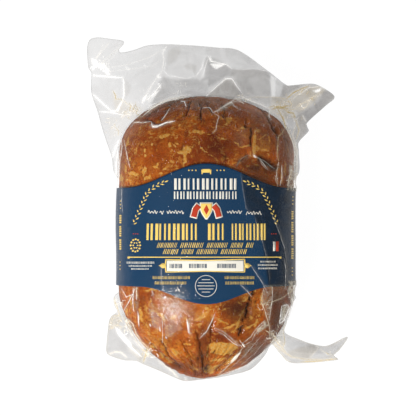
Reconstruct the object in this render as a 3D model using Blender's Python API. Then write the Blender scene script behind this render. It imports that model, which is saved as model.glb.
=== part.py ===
"""A whole cooked ham sealed in a clear vacuum bag, with a wide paper band round its middle.

The pack lies on its flattened back with the front of the band up, as it can't stand on its round end.
X runs across the pack, Y along it towards the wide loose end of the bag, and Z up. The origin is on the
resting face, under the middle of the ham. Sizes are in metres.
"""

import math

import bmesh
import bpy
from mathutils import Vector, noise
from mathutils.geometry import delaunay_2d_cdt

# Driving sizes of the ham in its tight film
HAM_LENGTH = 0.210
HAM_WIDTH = 0.133
HAM_HEIGHT = 0.095
LOW_END = 0.071  # length of the rounded end at -Y
HIGH_END = 0.045  # length of the rounded end at +Y
LOW_END_POWER = 1.85
HIGH_END_POWER = 2.15
SECTION_POWER = 2.35  # 2 would be an ellipse, more is boxier
PRESSED_FLAT = 0.006  # how much of the back is pressed flat by the ham's own weight
FLAT_ROUNDING = 0.002
GATHER_SHIFT = Vector((-0.005, 0.006))  # the tied ends sit a little to the left and up
LUMP = 0.020  # swell of the lumps, as a share of the girth
LUMP_SIZE = 0.048

# The loose margin of the bag, whose two plies part towards the ham
MARGIN_STEP = 0.0075  # spacing of its points
MARGIN_CLEARANCE = 0.55 * MARGIN_STEP  # from its inner points to its edges
MARGIN_ROOT = 0.82  # its inner line lies inside the ham, at this share of the ham's outline
ROOT_POINTS = 26  # on each side of the ham
EDGE_HALF_GAP = 0.0005  # half the distance between the plies at the sealed edge
ROOT_HALF_GAP = 0.010
GAP_REACH = 0.007
GAP_SLOPE = 0.7
WAVE = 0.005
WAVE_LENGTH = 0.034
WAVE_REACH = 0.030

# The band
BAND_CLEARANCE = 0.0004
BAND_THICKNESS = 0.0005
BAND_END_TURN = math.radians(-43)  # where the band stops under the ham, short of the resting face
BAND_TOP = (0.0365, 0.017, 0.059)  # height at the sides, the front's rise over that, and its reach
BAND_BOTTOM = (-0.035, -0.012, 0.047)
BAND_COLUMNS = 48
BAND_ROWS = 8
FRONT_BLEND = 4  # how soon the band's shaped front gives way to its straight sides

# Resolution of the ham
TURNS = 64
RINGS = 30
LOW_RINGS = 11
HIGH_RINGS = 8
FINE_REACH = 1.35  # faces this many groove widths from a groove are made finer
FINE_PASSES = 2
FINEST_EDGE = 0.003  # shorter edges are left as they are

MM = 0.001
HALF_WIDTH = HAM_WIDTH / 2
HALF_HEIGHT = (HAM_HEIGHT + PRESSED_FLAT) / 2
MID_HEIGHT = HAM_HEIGHT - HALF_HEIGHT

# Grooves in the upper side, seen from above: depth and width in mm, then the line that each follows in mm
FRONT_GROOVES = [
    (5.5, 3.4, [(-3.3, -102), (-6.2, -84), (-8, -68)]),
    (5.5, 3.4, [(-3.0, -102), (0.6, -78), (3.6, -64), (5.6, -55)]),
    (4.0, 3.4, [(-10, -104), (-20, -92), (-27, -81), (-31, -70), (-32, -58)]),
    (4.0, 3.4, [(-12, -104), (-30, -92), (-40, -82), (-46, -72)]),
    (4.0, 3.4, [(4, -103), (17, -92), (30, -80), (40, -66)]),
    (4.5, 3.4, [(34, -36), (33, -47), (30, -56), (28, -64), (24, -72)]),
    (5.5, 3.4, [(29, 86), (32, 79), (32.5, 60)]),
    (4.0, 3.4, [(32.5, 60), (25, 57), (20, 49)]),
    (4.5, 3.6, [(33, 60), (41, 55), (52, 48)]),
    (4.0, 3.4, [(31, 101), (40, 94), (46, 88), (49, 81), (53, 74)]),
    (4.5, 3.4, [(-54, 93), (-40, 84), (-32, 83), (-21, 86)]),
    (3.5, 3.2, [(-5, 104), (-4, 96), (-3, 88)]),
]
GROOVE_REACH = 3  # a groove is felt this many of its widths away
GROOVE_FADE = 5  # it gets shallower over the last fifth of its line
GROOVE_END = 0.2  # share of its depth that is left at the end
BACK_PLEATS = 5  # pleats at each end of the underside
BACK_PLEAT = (3.5, 3.4)
BACK_PLEAT_REACH = 42 * MM
BACK_PLEAT_SPREAD = math.radians(150)
BACK_PLEAT_VARIATION = 0.3
SIDE_BLEND = 0.016  # height over which the upper side's grooves give way to the underside's

# Edge of the bag, clockwise: plan position and height in mm. Beside the band it is hidden in the ham.
LOOSE_END = [
    (-62, 38, 44), (-69, 48, 42), (-71, 60, 40), (-77, 77, 36), (-82, 94, 33), (-87, 109, 31),
    (-87, 124, 30), (-89, 127, 31), (-90, 141, 33), (-88, 148, 34), (-82, 150, 33), (-73, 149, 31),
    (-62, 147, 29), (-66.5, 141, 27), (-65, 139, 27), (-56, 141, 25), (-45, 145, 24),
    (-31, 146, 24), (-13, 145, 27), (9, 143, 29), (24, 141, 27), (47, 125, 27), (58, 116, 30),
]
UPPER_EAR = [
    (61, 114, 31), (79, 115, 36), (87, 112, 38), (96, 105, 38), (90, 99, 35), (75, 85, 33),
    (77, 80, 34), (69, 71, 38),
]
RIGHT_SIDE = [
    (69, 65, 40), (69, 48, 43), (62, 38, 44), (62, -37, 44), (67, -45, 43), (65, -48, 42),
    (62, -55, 40), (60, -65, 36),
]
TAIL = [
    (59, -72, 32), (71, -78, 26), (82, -82, 22), (92, -83, 20), (107, -76, 24), (101, -87, 16),
    (97, -91, 14), (101, -94, 13), (88, -96, 12), (76, -97, 12), (63, -96, 14), (56, -89, 19),
    (49, -81, 28),
]
TIED_END = [
    (45, -88, 29), (40, -94, 30), (33, -100, 31), (22, -103, 34), (8, -105, 42), (-5, -106, 47),
    (-15, -107, 47), (-21, -106, 43), (-34, -101, 36), (-48, -96, 30),
]
LOWER_EAR = [
    (-53, -94, 26), (-62, -94, 20), (-70, -92, 16), (-76, -89, 14), (-76, -81, 18), (-74, -65, 26),
    (-72, -60, 30), (-67, -56, 36),
]
LEFT_SIDE = [(-69, -51, 40), (-69, -44, 42), (-62, -37, 44)]
BAG_EDGE = LOOSE_END + UPPER_EAR + RIGHT_SIDE + TAIL + TIED_END + LOWER_EAR + LEFT_SIDE

# Colours of the sub-parts
HAM_BROWN = (0.30, 0.10, 0.03)
BAND_NAVY = (0.018, 0.050, 0.130)
FILM_ROUGHNESS = 0.18
PAPER_ROUGHNESS = 0.35


def clear_scene():
    """Remove what the file starts with."""
    for obj in list(bpy.data.objects):
        bpy.data.objects.remove(obj)


def smooth(value):
    """Ease a value from 0 to 1."""
    value = min(1.0, max(0.0, value))
    return value * value * (3 - 2 * value)


def signed_power(value, power):
    return math.copysign(abs(value) ** power, value)


def pressed(height):
    """Press what is below the table flat, with a short rounding where the flat begins."""
    if height <= -FLAT_ROUNDING:
        return 0.0
    if height >= FLAT_ROUNDING:
        return height
    return (height + FLAT_ROUNDING) ** 2 / (4 * FLAT_ROUNDING)


def rounded_end(share, reach, power):
    """Distance from the tip and share of the full girth, as share runs from 0 at the tip to 1."""
    angle = share * math.pi / 2
    girth = math.sin(angle) ** (2 / power)
    return reach * (1 - math.cos(angle) ** (2 / power)), girth


def along_ham(share):
    """Y and the share of the full girth, as share runs from 0 at the tied end to 1 at the other."""
    ring = share * RINGS
    if ring < LOW_RINGS:
        distance, girth = rounded_end(ring / LOW_RINGS, LOW_END, LOW_END_POWER)
        return distance - HAM_LENGTH / 2, girth
    if ring > RINGS - HIGH_RINGS:
        distance, girth = rounded_end((RINGS - ring) / HIGH_RINGS, HIGH_END, HIGH_END_POWER)
        return HAM_LENGTH / 2 - distance, girth
    middle = (ring - LOW_RINGS) / (RINGS - LOW_RINGS - HIGH_RINGS)
    return LOW_END - HAM_LENGTH / 2 + middle * (HAM_LENGTH - LOW_END - HIGH_END), 1.0


def skin_point(y, girth, turn, lift=0.0):
    """A point of the ham's smooth skin, turn being 0 at +X and a quarter turn on top."""
    across = signed_power(math.cos(turn), 2 / SECTION_POWER)
    upward = signed_power(math.sin(turn), 2 / SECTION_POWER)
    place = Vector((across * HALF_WIDTH, y, upward * HALF_HEIGHT)) / LUMP_SIZE
    swell = 1 + LUMP * noise.noise(place)
    shift = GATHER_SHIFT * (1 - girth) ** 2
    x = (HALF_WIDTH * swell + lift) * girth * across + shift.x
    z = MID_HEIGHT + (HALF_HEIGHT * swell + lift) * girth * upward + shift.y
    return Vector((x, y, pressed(z)))


def skin_of_direction(direction):
    """The skin's point for a point of the unit sphere whose axis, Z, stands for the ham's length."""
    share = math.acos(max(-1.0, min(1.0, -direction.z))) / math.pi
    y, girth = along_ham(share)
    return skin_point(y, girth, math.atan2(direction.y, direction.x))


def back_pleats():
    """Pleats that fan out of each tied end over the underside, in the form of FRONT_GROOVES."""
    depth, width = BACK_PLEAT
    found = []
    for end in (-1, 1):
        for i in range(BACK_PLEATS):
            angle = BACK_PLEAT_SPREAD * (i / (BACK_PLEATS - 1) - 0.5)
            away = Vector((math.sin(angle), -end * math.cos(angle)))
            tip = Vector((GATHER_SHIFT.x, end * HAM_LENGTH / 2))
            reach = BACK_PLEAT_REACH * (1 + BACK_PLEAT_VARIATION * math.cos(3 * i))
            found.append((depth, width, [tip / MM, (tip + away * reach) / MM]))
    return found


def distance_to_line(spot, line):
    """Distance in mm from a spot to a line of points in plan, and how far along it is, from 0 to 1."""
    best, where = math.inf, 0.0
    for i in range(len(line) - 1):
        start, end = Vector(line[i]), Vector(line[i + 1])
        run = end - start
        share = min(1.0, max(0.0, (spot - start).dot(run) / run.length_squared))
        distance = (spot - start - run * share).length
        if distance < best:
            best, where = distance, (i + share) / (len(line) - 1)
    return best, where


def groove_depth(point, grooves):
    """Depth in metres of the deepest of these grooves at a point, seen from above."""
    spot = Vector((point.x, point.y)) / MM
    deepest = 0.0
    for depth, width, line in grooves:
        distance, where = distance_to_line(spot, line)
        if distance < GROOVE_REACH * width:
            taper = GROOVE_END + (1 - GROOVE_END) * smooth((1 - where) * GROOVE_FADE)
            deepest = max(deepest, depth * MM * taper * math.exp(-((distance / width) ** 2)))
    return deepest


def relief(point):
    """How far the skin is drawn in at a point, by the front's grooves above and the back's below."""
    upper = smooth((point.z - MID_HEIGHT) / SIDE_BLEND + 0.5)
    depth = upper * groove_depth(point, FRONT_GROOVES)
    if upper < 1:
        depth += (1 - upper) * groove_depth(point, back_pleats())
    return depth


def refine_near_grooves(bm):
    """Make the sphere's faces finer where the front's grooves and the back's pleats will run."""
    for _ in range(FINE_PASSES):
        near = []
        for edge in bm.edges:
            middle = (edge.verts[0].co + edge.verts[1].co) / 2
            point = skin_of_direction(middle.normalized())
            ends = [skin_of_direction(v.co.normalized()) for v in edge.verts]
            grooves = FRONT_GROOVES if point.z > MID_HEIGHT else back_pleats()
            spot = Vector((point.x, point.y)) / MM
            long_enough = (ends[0] - ends[1]).length > FINEST_EDGE
            if long_enough and any(
                distance_to_line(spot, line)[0] < FINE_REACH * width for _, width, line in grooves
            ):
                near.append(edge)
        bmesh.ops.subdivide_edges(bm, edges=near, cuts=1, use_grid_fill=True)


def make_ham():
    """The ham in its tight film, with its lumps and grooves."""
    bm = bmesh.new()
    bmesh.ops.create_uvsphere(bm, u_segments=TURNS, v_segments=RINGS, radius=1.0)
    refine_near_grooves(bm)
    for vert in bm.verts:
        vert.co = skin_of_direction(vert.co.normalized())
    bmesh.ops.triangulate(bm, faces=bm.faces)
    bmesh.ops.recalc_face_normals(bm, faces=bm.faces)
    bm.normal_update()
    moved = []
    for vert in bm.verts:
        point = vert.co - vert.normal * relief(vert.co)
        moved.append((vert, point if vert.co.z > 0 else vert.co))
    for vert, point in moved:
        vert.co = point
    bmesh.ops.recalc_face_normals(bm, faces=bm.faces)
    return new_object("bag", bm, painted("ham_in_film", HAM_BROWN, FILM_ROUGHNESS))


def beyond_outline(x, y):
    """How far a spot in plan lies outside the ham's outline, less than 0 inside it."""
    low, high = LOW_END - HAM_LENGTH / 2, HAM_LENGTH / 2 - HIGH_END
    if y < low:
        reach, power, over = LOW_END, LOW_END_POWER, y - low
    elif y > high:
        reach, power, over = HIGH_END, HIGH_END_POWER, y - high
    else:
        return abs(x) - HALF_WIDTH
    size = (abs(x / HALF_WIDTH) ** power + abs(over / reach) ** power) ** (1 / power)
    return math.hypot(x, over) * (1 - 1 / max(size, 0.01))


def closely_spaced(stops, step):
    """Points round a closed line, no further apart than about a step, keeping its corners."""
    found = []
    for i, stop in enumerate(stops):
        after = stops[(i + 1) % len(stops)]
        pieces = max(1, round((after - stop).length / step))
        found += [stop.lerp(after, k / pieces) for k in range(pieces)]
    return found


def root_line():
    """The inner line of the margin: the ham's outline in plan, drawn in so that it lies in the ham."""
    found = []
    for i in range(ROOT_POINTS):
        y, girth = along_ham(0.5 - 0.5 * math.cos(math.pi * (i + 0.5) / ROOT_POINTS))
        found.append(Vector((HALF_WIDTH * girth * MARGIN_ROOT, y * MARGIN_ROOT, MID_HEIGHT)))
    return found + [Vector((-spot.x, spot.y, spot.z)) for spot in reversed(found)]


def distance_to_ring(spot, ring):
    """Distance in plan from a spot to a closed line."""
    best = math.inf
    for i, start in enumerate(ring):
        run = ring[(i + 1) % len(ring)].xy - start.xy
        share = min(1.0, max(0.0, (spot - start.xy).dot(run) / run.length_squared))
        best = min(best, (spot - start.xy - run * share).length)
    return best


def inside_ring(spot, ring):
    """Whether a spot in plan lies inside a closed line."""
    inside = False
    for i, start in enumerate(ring):
        end = ring[(i + 1) % len(ring)]
        if (start.y > spot.y) != (end.y > spot.y):
            crossing = start.x + (spot.y - start.y) / (end.y - start.y) * (end.x - start.x)
            inside = inside != (spot.x < crossing)
    return inside


def plan_mesh(edge, root):
    """Points and triangles of the area between the bag's edge and the root line, in plan."""
    spots = [point.xy for point in edge + root]
    last = len(edge) - 1
    lines = [(i, i + 1 if i < last else 0) for i in range(len(edge))]
    lines += [(i, i + 1 if i + 1 < len(spots) else last + 1) for i in range(last + 1, len(spots))]
    row_height = MARGIN_STEP * math.sqrt(0.75)
    rows = math.ceil(max(abs(spot.y) for spot in spots) / row_height)
    columns = math.ceil(max(abs(spot.x) for spot in spots) / MARGIN_STEP)
    for row in range(-rows, rows + 1):
        for column in range(-columns, columns + 1):
            spot = Vector(((column + row % 2 / 2) * MARGIN_STEP, row * row_height))
            between = inside_ring(spot, edge) and not inside_ring(spot, root)
            clear = min(distance_to_ring(spot, edge), distance_to_ring(spot, root))
            if between and clear > MARGIN_CLEARANCE:
                spots.append(spot)
    filled = delaunay_2d_cdt(spots, lines, [], 0, 1e-7)
    triangles = []
    for triangle in filled[2]:
        centre = sum((filled[0][i] for i in triangle), Vector((0, 0))) / 3
        if inside_ring(centre, edge) and not inside_ring(centre, root):
            triangles.append(triangle)
    return filled[0], triangles


def margin_height(spot, edge, beyond, inward):
    """Height of the middle of the margin: level with the ham's middle there, at the edge's own there."""
    weights = [1 / ((spot - point.xy).length_squared + MM * MM) ** 2 for point in edge]
    edge_height = sum(w * point.z for w, point in zip(weights, edge)) / sum(weights)
    out = beyond / (beyond + inward + 0.1 * MM)
    wave = noise.noise(Vector((spot.x, spot.y, 0.01)) / WAVE_LENGTH)
    return MID_HEIGHT + (edge_height - MID_HEIGHT) * out + WAVE * smooth(beyond / WAVE_REACH) * wave


def make_margin():
    """The margin all round the bag as one ring-shaped solid, which the ham's solid is joined to."""
    edge = closely_spaced([Vector(stop) * MM for stop in BAG_EDGE], MARGIN_STEP)
    spots, triangles = plan_mesh(edge, root_line())
    bm = bmesh.new()
    verts = [bm.verts.new((spot.x, spot.y, 0)) for spot in spots]
    for triangle in triangles:
        bm.faces.new([verts[i] for i in triangle])
    sheet = bmesh.ops.extrude_face_region(bm, geom=bm.faces)
    upper = {item for item in sheet["geom"] if isinstance(item, bmesh.types.BMVert)}
    for vert in bm.verts:
        beyond = max(0.0, beyond_outline(vert.co.x, vert.co.y))
        inward = distance_to_ring(vert.co.xy, edge)
        parting = min(ROOT_HALF_GAP * math.exp(-beyond / GAP_REACH), GAP_SLOPE * inward)
        vert.co.z = margin_height(vert.co.xy, edge, beyond, inward)
        vert.co.z += (EDGE_HALF_GAP + parting) * (1 if vert in upper else -1)
    bmesh.ops.recalc_face_normals(bm, faces=bm.faces)
    return new_object("margin", bm, None)


def join_margin(ham, margin):
    """Make one body of the tight film and the loose margin, as the bag is one piece."""
    join = ham.modifiers.new("join_margin", "BOOLEAN")
    join.operation = "UNION"
    join.object = margin
    margin.hide_render = True
    margin.display_type = "WIRE"


def band_edge(profile, x, front):
    """Y of one edge of the band. Its front is taller in the middle, in the form of a bell."""
    side, rise, reach = profile
    return side + front * rise * 0.5 * (1 + math.cos(math.pi * min(1.0, abs(x) / reach)))


def band_point(column, row, lift):
    """A point of the band, column and row running from 0 to 1 across it and up it."""
    turn = math.pi - BAND_END_TURN + column * (2 * BAND_END_TURN - math.pi)
    x = HALF_WIDTH * signed_power(math.cos(turn), 2 / SECTION_POWER)
    front = smooth(math.sin(turn) * FRONT_BLEND)
    low = band_edge(BAND_BOTTOM, x, front)
    high = band_edge(BAND_TOP, x, front)
    return skin_point(low + row * (high - low), 1.0, turn, lift)


def make_band():
    """The paper band, a thin curved solid that ends short of the resting face on both sides."""
    bm = bmesh.new()
    bmesh.ops.create_grid(bm, x_segments=BAND_COLUMNS, y_segments=BAND_ROWS, size=1.0)
    inner = BAND_CLEARANCE
    outer = BAND_CLEARANCE + BAND_THICKNESS
    sheet = bmesh.ops.extrude_face_region(bm, geom=bm.faces)
    upper = {item for item in sheet["geom"] if isinstance(item, bmesh.types.BMVert)}
    for vert in bm.verts:
        lift = outer if vert in upper else inner
        vert.co = band_point((vert.co.x + 1) / 2, (vert.co.y + 1) / 2, lift)
    bmesh.ops.triangulate(bm, faces=bm.faces)
    bmesh.ops.recalc_face_normals(bm, faces=bm.faces)
    return new_object("band", bm, painted("band", BAND_NAVY, PAPER_ROUGHNESS))


def painted(name, colour, roughness):
    """A plain material."""
    material = bpy.data.materials.new(name)
    material.use_nodes = True
    shader = material.node_tree.nodes["Principled BSDF"]
    shader.inputs["Base Color"].default_value = (*colour, 1)
    shader.inputs["Roughness"].default_value = roughness
    shader.inputs["Metallic"].default_value = 0.0
    return material


def new_object(name, bm, material):
    """Put a finished mesh in the scene, shaded smooth."""
    mesh = bpy.data.meshes.new(name)
    bm.to_mesh(mesh)
    bm.free()
    mesh.shade_smooth()
    if material:
        mesh.materials.append(material)
    obj = bpy.data.objects.new(name, mesh)
    bpy.context.scene.collection.objects.link(obj)
    return obj


def main():
    clear_scene()
    join_margin(make_ham(), make_margin())
    make_band()


main()
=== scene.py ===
"""A whole cooked ham sealed in a clear vacuum bag, with a wide navy band round its middle.

The pack lies on its back on a pale floor and is seen from straight above. The frame gives the pack's
solids. Here the bag becomes the ham and the clear film round it, and the band gets its print, which is
plain shapes in the real print's colours. Sizes are in metres, and photo spots in pixels of its
416 x 416 frame.
"""

import math
import random

import bmesh
import bpy
import numpy as np
from mathutils import Matrix, Vector, noise
from mathutils.bvhtree import BVHTree


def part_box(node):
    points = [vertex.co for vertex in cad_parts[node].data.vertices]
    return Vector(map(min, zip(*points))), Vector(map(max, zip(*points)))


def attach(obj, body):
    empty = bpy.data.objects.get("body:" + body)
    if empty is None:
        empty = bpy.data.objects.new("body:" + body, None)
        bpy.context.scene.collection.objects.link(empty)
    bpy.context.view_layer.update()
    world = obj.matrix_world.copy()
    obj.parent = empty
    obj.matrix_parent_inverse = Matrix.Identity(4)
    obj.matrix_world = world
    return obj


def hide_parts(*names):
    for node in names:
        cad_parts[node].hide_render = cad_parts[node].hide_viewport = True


bl_info = {
    "name": "Vacuum-packed ham",
    "version": (1, 0, 0),
    "blender": (4, 5, 0),
    "location": "View3D > Sidebar > Ham",
    "description": "Builds a ham in a clear vacuum bag round its packed frame",
    "category": "Add Mesh",
}

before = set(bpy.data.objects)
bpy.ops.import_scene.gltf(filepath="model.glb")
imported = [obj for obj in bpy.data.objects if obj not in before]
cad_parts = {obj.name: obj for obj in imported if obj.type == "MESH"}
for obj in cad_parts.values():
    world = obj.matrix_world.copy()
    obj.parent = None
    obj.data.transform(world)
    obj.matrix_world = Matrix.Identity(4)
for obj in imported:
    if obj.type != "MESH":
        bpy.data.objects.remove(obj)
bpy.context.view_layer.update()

MM = 0.001
FAR = 1e9  # farther than anything here, in metres or in pixels
WHITE = (1, 1, 1, 1)

# The ham in its tight film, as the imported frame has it
HAM_LENGTH = 0.210
HAM_WIDTH = 0.133
HAM_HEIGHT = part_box("bag")[1].z
LOW_END = 0.071
HIGH_END = 0.045
LOW_END_POWER = 1.85
HIGH_END_POWER = 2.15
SECTION_POWER = 2.35
PRESSED_FLAT = 0.006
FLAT_ROUNDING = 0.002
GATHER_SHIFT = (-0.005, 0.006)
LUMP = 0.020
LUMP_SIZE = 0.048
HALF_WIDTH = HAM_WIDTH / 2
HALF_HEIGHT = (HAM_HEIGHT + PRESSED_FLAT) / 2
MID_HEIGHT = HAM_HEIGHT - HALF_HEIGHT
LOW_SHARE = 11 / 30  # share of the rings on each rounded end
HIGH_SHARE = 8 / 30

# The ham's mesh and its fine relief
HAM_TURNS, HAM_RINGS = 240, 140
REFINED_WIDE, REFINED_CLOSE = 3.4, 2.0  # pixels from its grooves and fat within which it is refined
SIDE_BLEND = 0.016  # height over which the front's looks give way to the back's
FRAY, FRAY_SIZE = 1.6, 0.0035  # how far photo spots are shifted about, in pixels, and over what size
RELIEF = ((0.0008, 0.012, 3.0), (0.0004, 0.0045, 9.0))  # height, size of the lumps, and seed
CARVED_ABOVE = 0.004
CORE_SHARE, HOLLOW_SHARE = 0.55, 0.45  # how a groove's depth is shared by its core and its hollow
HOLLOW_SPREAD = 3.2
HOLE_DEPTH = 2.5 * MM
# The darkness of grooves and wrinkles is painted shade, deeper ones painted darker
DARK_CORE, DARK_GATHER = 2.4 * MM, 2.0 * MM  # depths at which a groove and a wrinkle look quite dark
PLEAT_DEPTH = 0.0030
PLEAT_REACH = 0.040
PLEATS = 5.5
GATHER_DEPTH = 0.0012
GATHER_REACH = 0.034
GATHER_START = 0.006
GATHER_SPACING = 0.0028
GATHER_RADIUS = 0.036  # where the wrinkles have their spacing
GATHER_STRETCH = 0.14
GATHER_SEED = 0.02

# The tight film
FILM_TURNS, FILM_RINGS = 250, 150
FILM_REFINED = 2.6  # pixels
FILM_OVER_BAND = 0.0011
BAND_STEP = 0.003  # how gently the film steps up onto the band
FILM_IN_CORES, FILM_IN_HOLLOWS = 0.15, 0.9  # how far the film follows the ham's grooves
CRUMPLE_HEIGHT, CRUMPLE_SPACING = 0.0008, 0.0065
RIPPLE_HEIGHT, RIPPLE_SPACING = 0.00025, 0.013
LIFTED_ABOVE = 0.003
CREASE_SPREAD = 2.0  # pixels
TIGHT_HAZE = 0.002
LEFT_VEIL, LEFT_VEIL_END, LEFT_VEIL_FADE = 0.01, 130, 8  # strength, and where it ends, in pixels

# The band
BAND_END_TURN = math.radians(-43)
BAND_TOP = (0.0365, 0.017, 0.059)  # height at the sides, the front's rise over that, and its reach
BAND_BOTTOM = (-0.035, -0.012, 0.047)
BAND_COLUMNS, BAND_ROWS = 220, 70
BAND_INNER, BAND_OUTER = 0.0001, 0.0005  # its two sides above the ham's skin
INK_UNDERSIDE = 0.00045
VIEWED_TURNS = (math.radians(186), math.radians(-6))  # the turns between which the photo shows the band
VIEWED_STEPS = 400

# The loose margin of the bag
MARGIN_ROOT = 0.82
ROOT_POINTS = 60
EDGE_HALF_GAP = 0.0003
ROOT_HALF_GAP = 0.010
GAP_REACH = 0.007
GAP_SLOPE = 0.7
WAVE = 0.005
WAVE_LENGTH = 0.034
WAVE_REACH = 0.030
EDGE_STEP = 0.0025
SHEET_STEP = 0.00085
LOOSE_SPREAD = 6.0  # pixels
LOOSE_RAISE = 0.0016
LOOSE_CRUMPLE, LOOSE_CRUMPLE_SPACING = 0.0012, 0.007
SEAL_WIDTH = 0.0009
AMBER_BELOW = 290  # photo height below which the sealed edge looks amber
LOOSE_END = [
    (-62, 38, 44), (-69, 48, 42), (-71, 60, 40), (-77, 77, 36), (-82, 94, 33), (-87, 109, 31),
    (-87, 124, 30), (-89, 127, 31), (-90, 141, 33), (-88, 148, 34), (-82, 150, 33), (-73, 149, 31),
    (-62, 147, 29), (-66.5, 141, 27), (-65, 139, 27), (-56, 141, 25), (-45, 145, 24),
    (-31, 146, 24), (-13, 145, 27), (9, 143, 29), (24, 141, 27), (47, 125, 27), (58, 116, 30),
]
UPPER_EAR = [
    (61, 114, 31), (79, 115, 36), (87, 112, 38), (96, 105, 38), (90, 99, 35), (75, 85, 33),
    (77, 80, 34), (69, 71, 38),
]
RIGHT_SIDE = [
    (69, 65, 40), (69, 48, 43), (62, 38, 44), (62, -37, 44), (67, -45, 43), (65, -48, 42),
    (62, -55, 40), (60, -65, 36),
]
TAIL = [
    (59, -72, 32), (71, -78, 26), (82, -82, 22), (92, -83, 20), (107, -76, 24), (101, -87, 16),
    (97, -91, 14), (101, -94, 13), (88, -96, 12), (76, -97, 12), (63, -96, 14), (56, -89, 19),
    (49, -81, 28),
]
TIED_END = [
    (45, -88, 29), (40, -94, 30), (33, -100, 31), (22, -103, 34), (8, -105, 42), (-5, -106, 47),
    (-15, -107, 47), (-21, -106, 43), (-34, -101, 36), (-48, -96, 30),
]
LOWER_EAR = [
    (-53, -94, 26), (-62, -94, 20), (-70, -92, 16), (-76, -89, 14), (-76, -81, 18), (-74, -65, 26),
    (-72, -60, 30), (-67, -56, 36),
]
LEFT_SIDE = [(-69, -51, 40), (-69, -44, 42), (-62, -37, 44)]
BAG_EDGE = LOOSE_END + UPPER_EAR + RIGHT_SIDE + TAIL + TIED_END + LOWER_EAR + LEFT_SIDE

# The photo's camera looks straight down
PHOTO_SIZE = 416
PHOTO_MIDDLE = PHOTO_SIZE / 2
CAMERA_SPOT = (0.0011, 0.02175)
CAMERA_HEIGHT = 1.25
PIXEL = 0.000745  # metres that a pixel spans at the level below
PIXEL_LEVEL = 0.045
SENSOR = 36.0

# Grooves in the ham, in photo spots: depth in mm, width of the core that is painted dark as shade, and the
# route
GROOVES = [
    (2.0, 0.5, [(195.5, 329), (198, 336), (199.5, 345), (200.5, 356), (203, 366), (202, 378)]),
    (1.8, 0.45, [(215.6, 313), (211.8, 322), (211, 334), (210.5, 344), (206.7, 357), (204, 367)]),
    (2.2, 0.6, [(158, 338), (162, 345), (166, 353), (171, 361), (181, 369), (193, 377.5)]),
    (2.6, 0.6, [(142, 335), (148, 344), (157, 353), (169.7, 363), (182, 371.5), (190, 378)]),
    (2.2, 0.6, [(141, 348), (155.7, 361), (168.4, 370), (180, 378)]),
    (1.8, 0.6, [(239, 350), (230.6, 359.4), (221.7, 368.4), (212, 377)]),
    (1.2, 0.6, [(254, 286), (253.5, 297), (251, 306), (247, 313.5), (244.6, 322.4), (239.5, 340)]),
    (3.6, 0.9, [(255, 287), (253.5, 292), (252.5, 297)]),
    (4.4, 1.1, [(251.5, 304), (248, 308), (248.5, 313), (245.5, 321)]),
    (4.4, 1.1, [(245.5, 325), (242, 329), (241, 334), (238.5, 337)]),
    (3.2, 0.7, [(251.6, 126), (252.3, 133), (251.4, 140), (251.7, 147)]),
    (2.2, 0.7, [(251.7, 155), (244.6, 157.8), (239.5, 161.6), (236, 168)]),
    (3.4, 1.3, [(258, 156.5), (264, 159.5), (270, 163.5), (277, 169)]),
    (2.4, 0.6, [(254, 102.5), (262.5, 108), (269, 114)]),
    (4.2, 0.85, [(262.5, 108), (270, 116), (273, 123), (276, 129), (278.5, 134), (279, 144)]),
    (1.6, 0.5, [(279, 122), (285, 134), (289, 146)]),
    (2.0, 0.7, [(139, 117), (149, 119.8), (155, 122.5), (166, 121.8), (175, 119.3)]),
    (3.0, 0.7, [(199, 99), (201, 106), (200, 113), (201.5, 121)]),
    (2.4, 0.6, [(171, 101), (166, 110), (158, 121)]),
    (2.4, 0.6, [(190, 99), (188.5, 108), (184, 117)]),
    (1.8, 0.5, [(206, 100), (209, 107), (213, 112)]),
    (2.0, 0.6, [(222, 100), (225, 110), (222, 118)]),
    (1.0, 0.5, [(160, 104), (153, 110), (147, 117)]),
    (2.6, 0.7, [(143, 118.5), (150, 112), (158, 106.5), (167, 102.8), (176, 101)]),
    (1.6, 0.7, [(247, 116), (246.5, 123), (251, 127)]),
    (2.4, 0.6, [(200, 350), (203, 360), (203.5, 370), (202, 378)]),
    (1.2, 0.4, [(179, 338), (186, 352), (193, 366), (198, 377)]),
]
HOLES = [
    (225, 156.6, 1.4), (250, 299, 1.3), (256, 302, 1.0), (248.5, 304, 1.2), (254.5, 286, 1.6),
    (243, 321, 1.2), (239, 331, 1.0), (214, 354, 0.9), (197, 361, 1.2), (246, 125, 1.3), (206, 371, 1.4),
    (182, 148, 0.8), (177, 127, 0.9),
]

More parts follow.
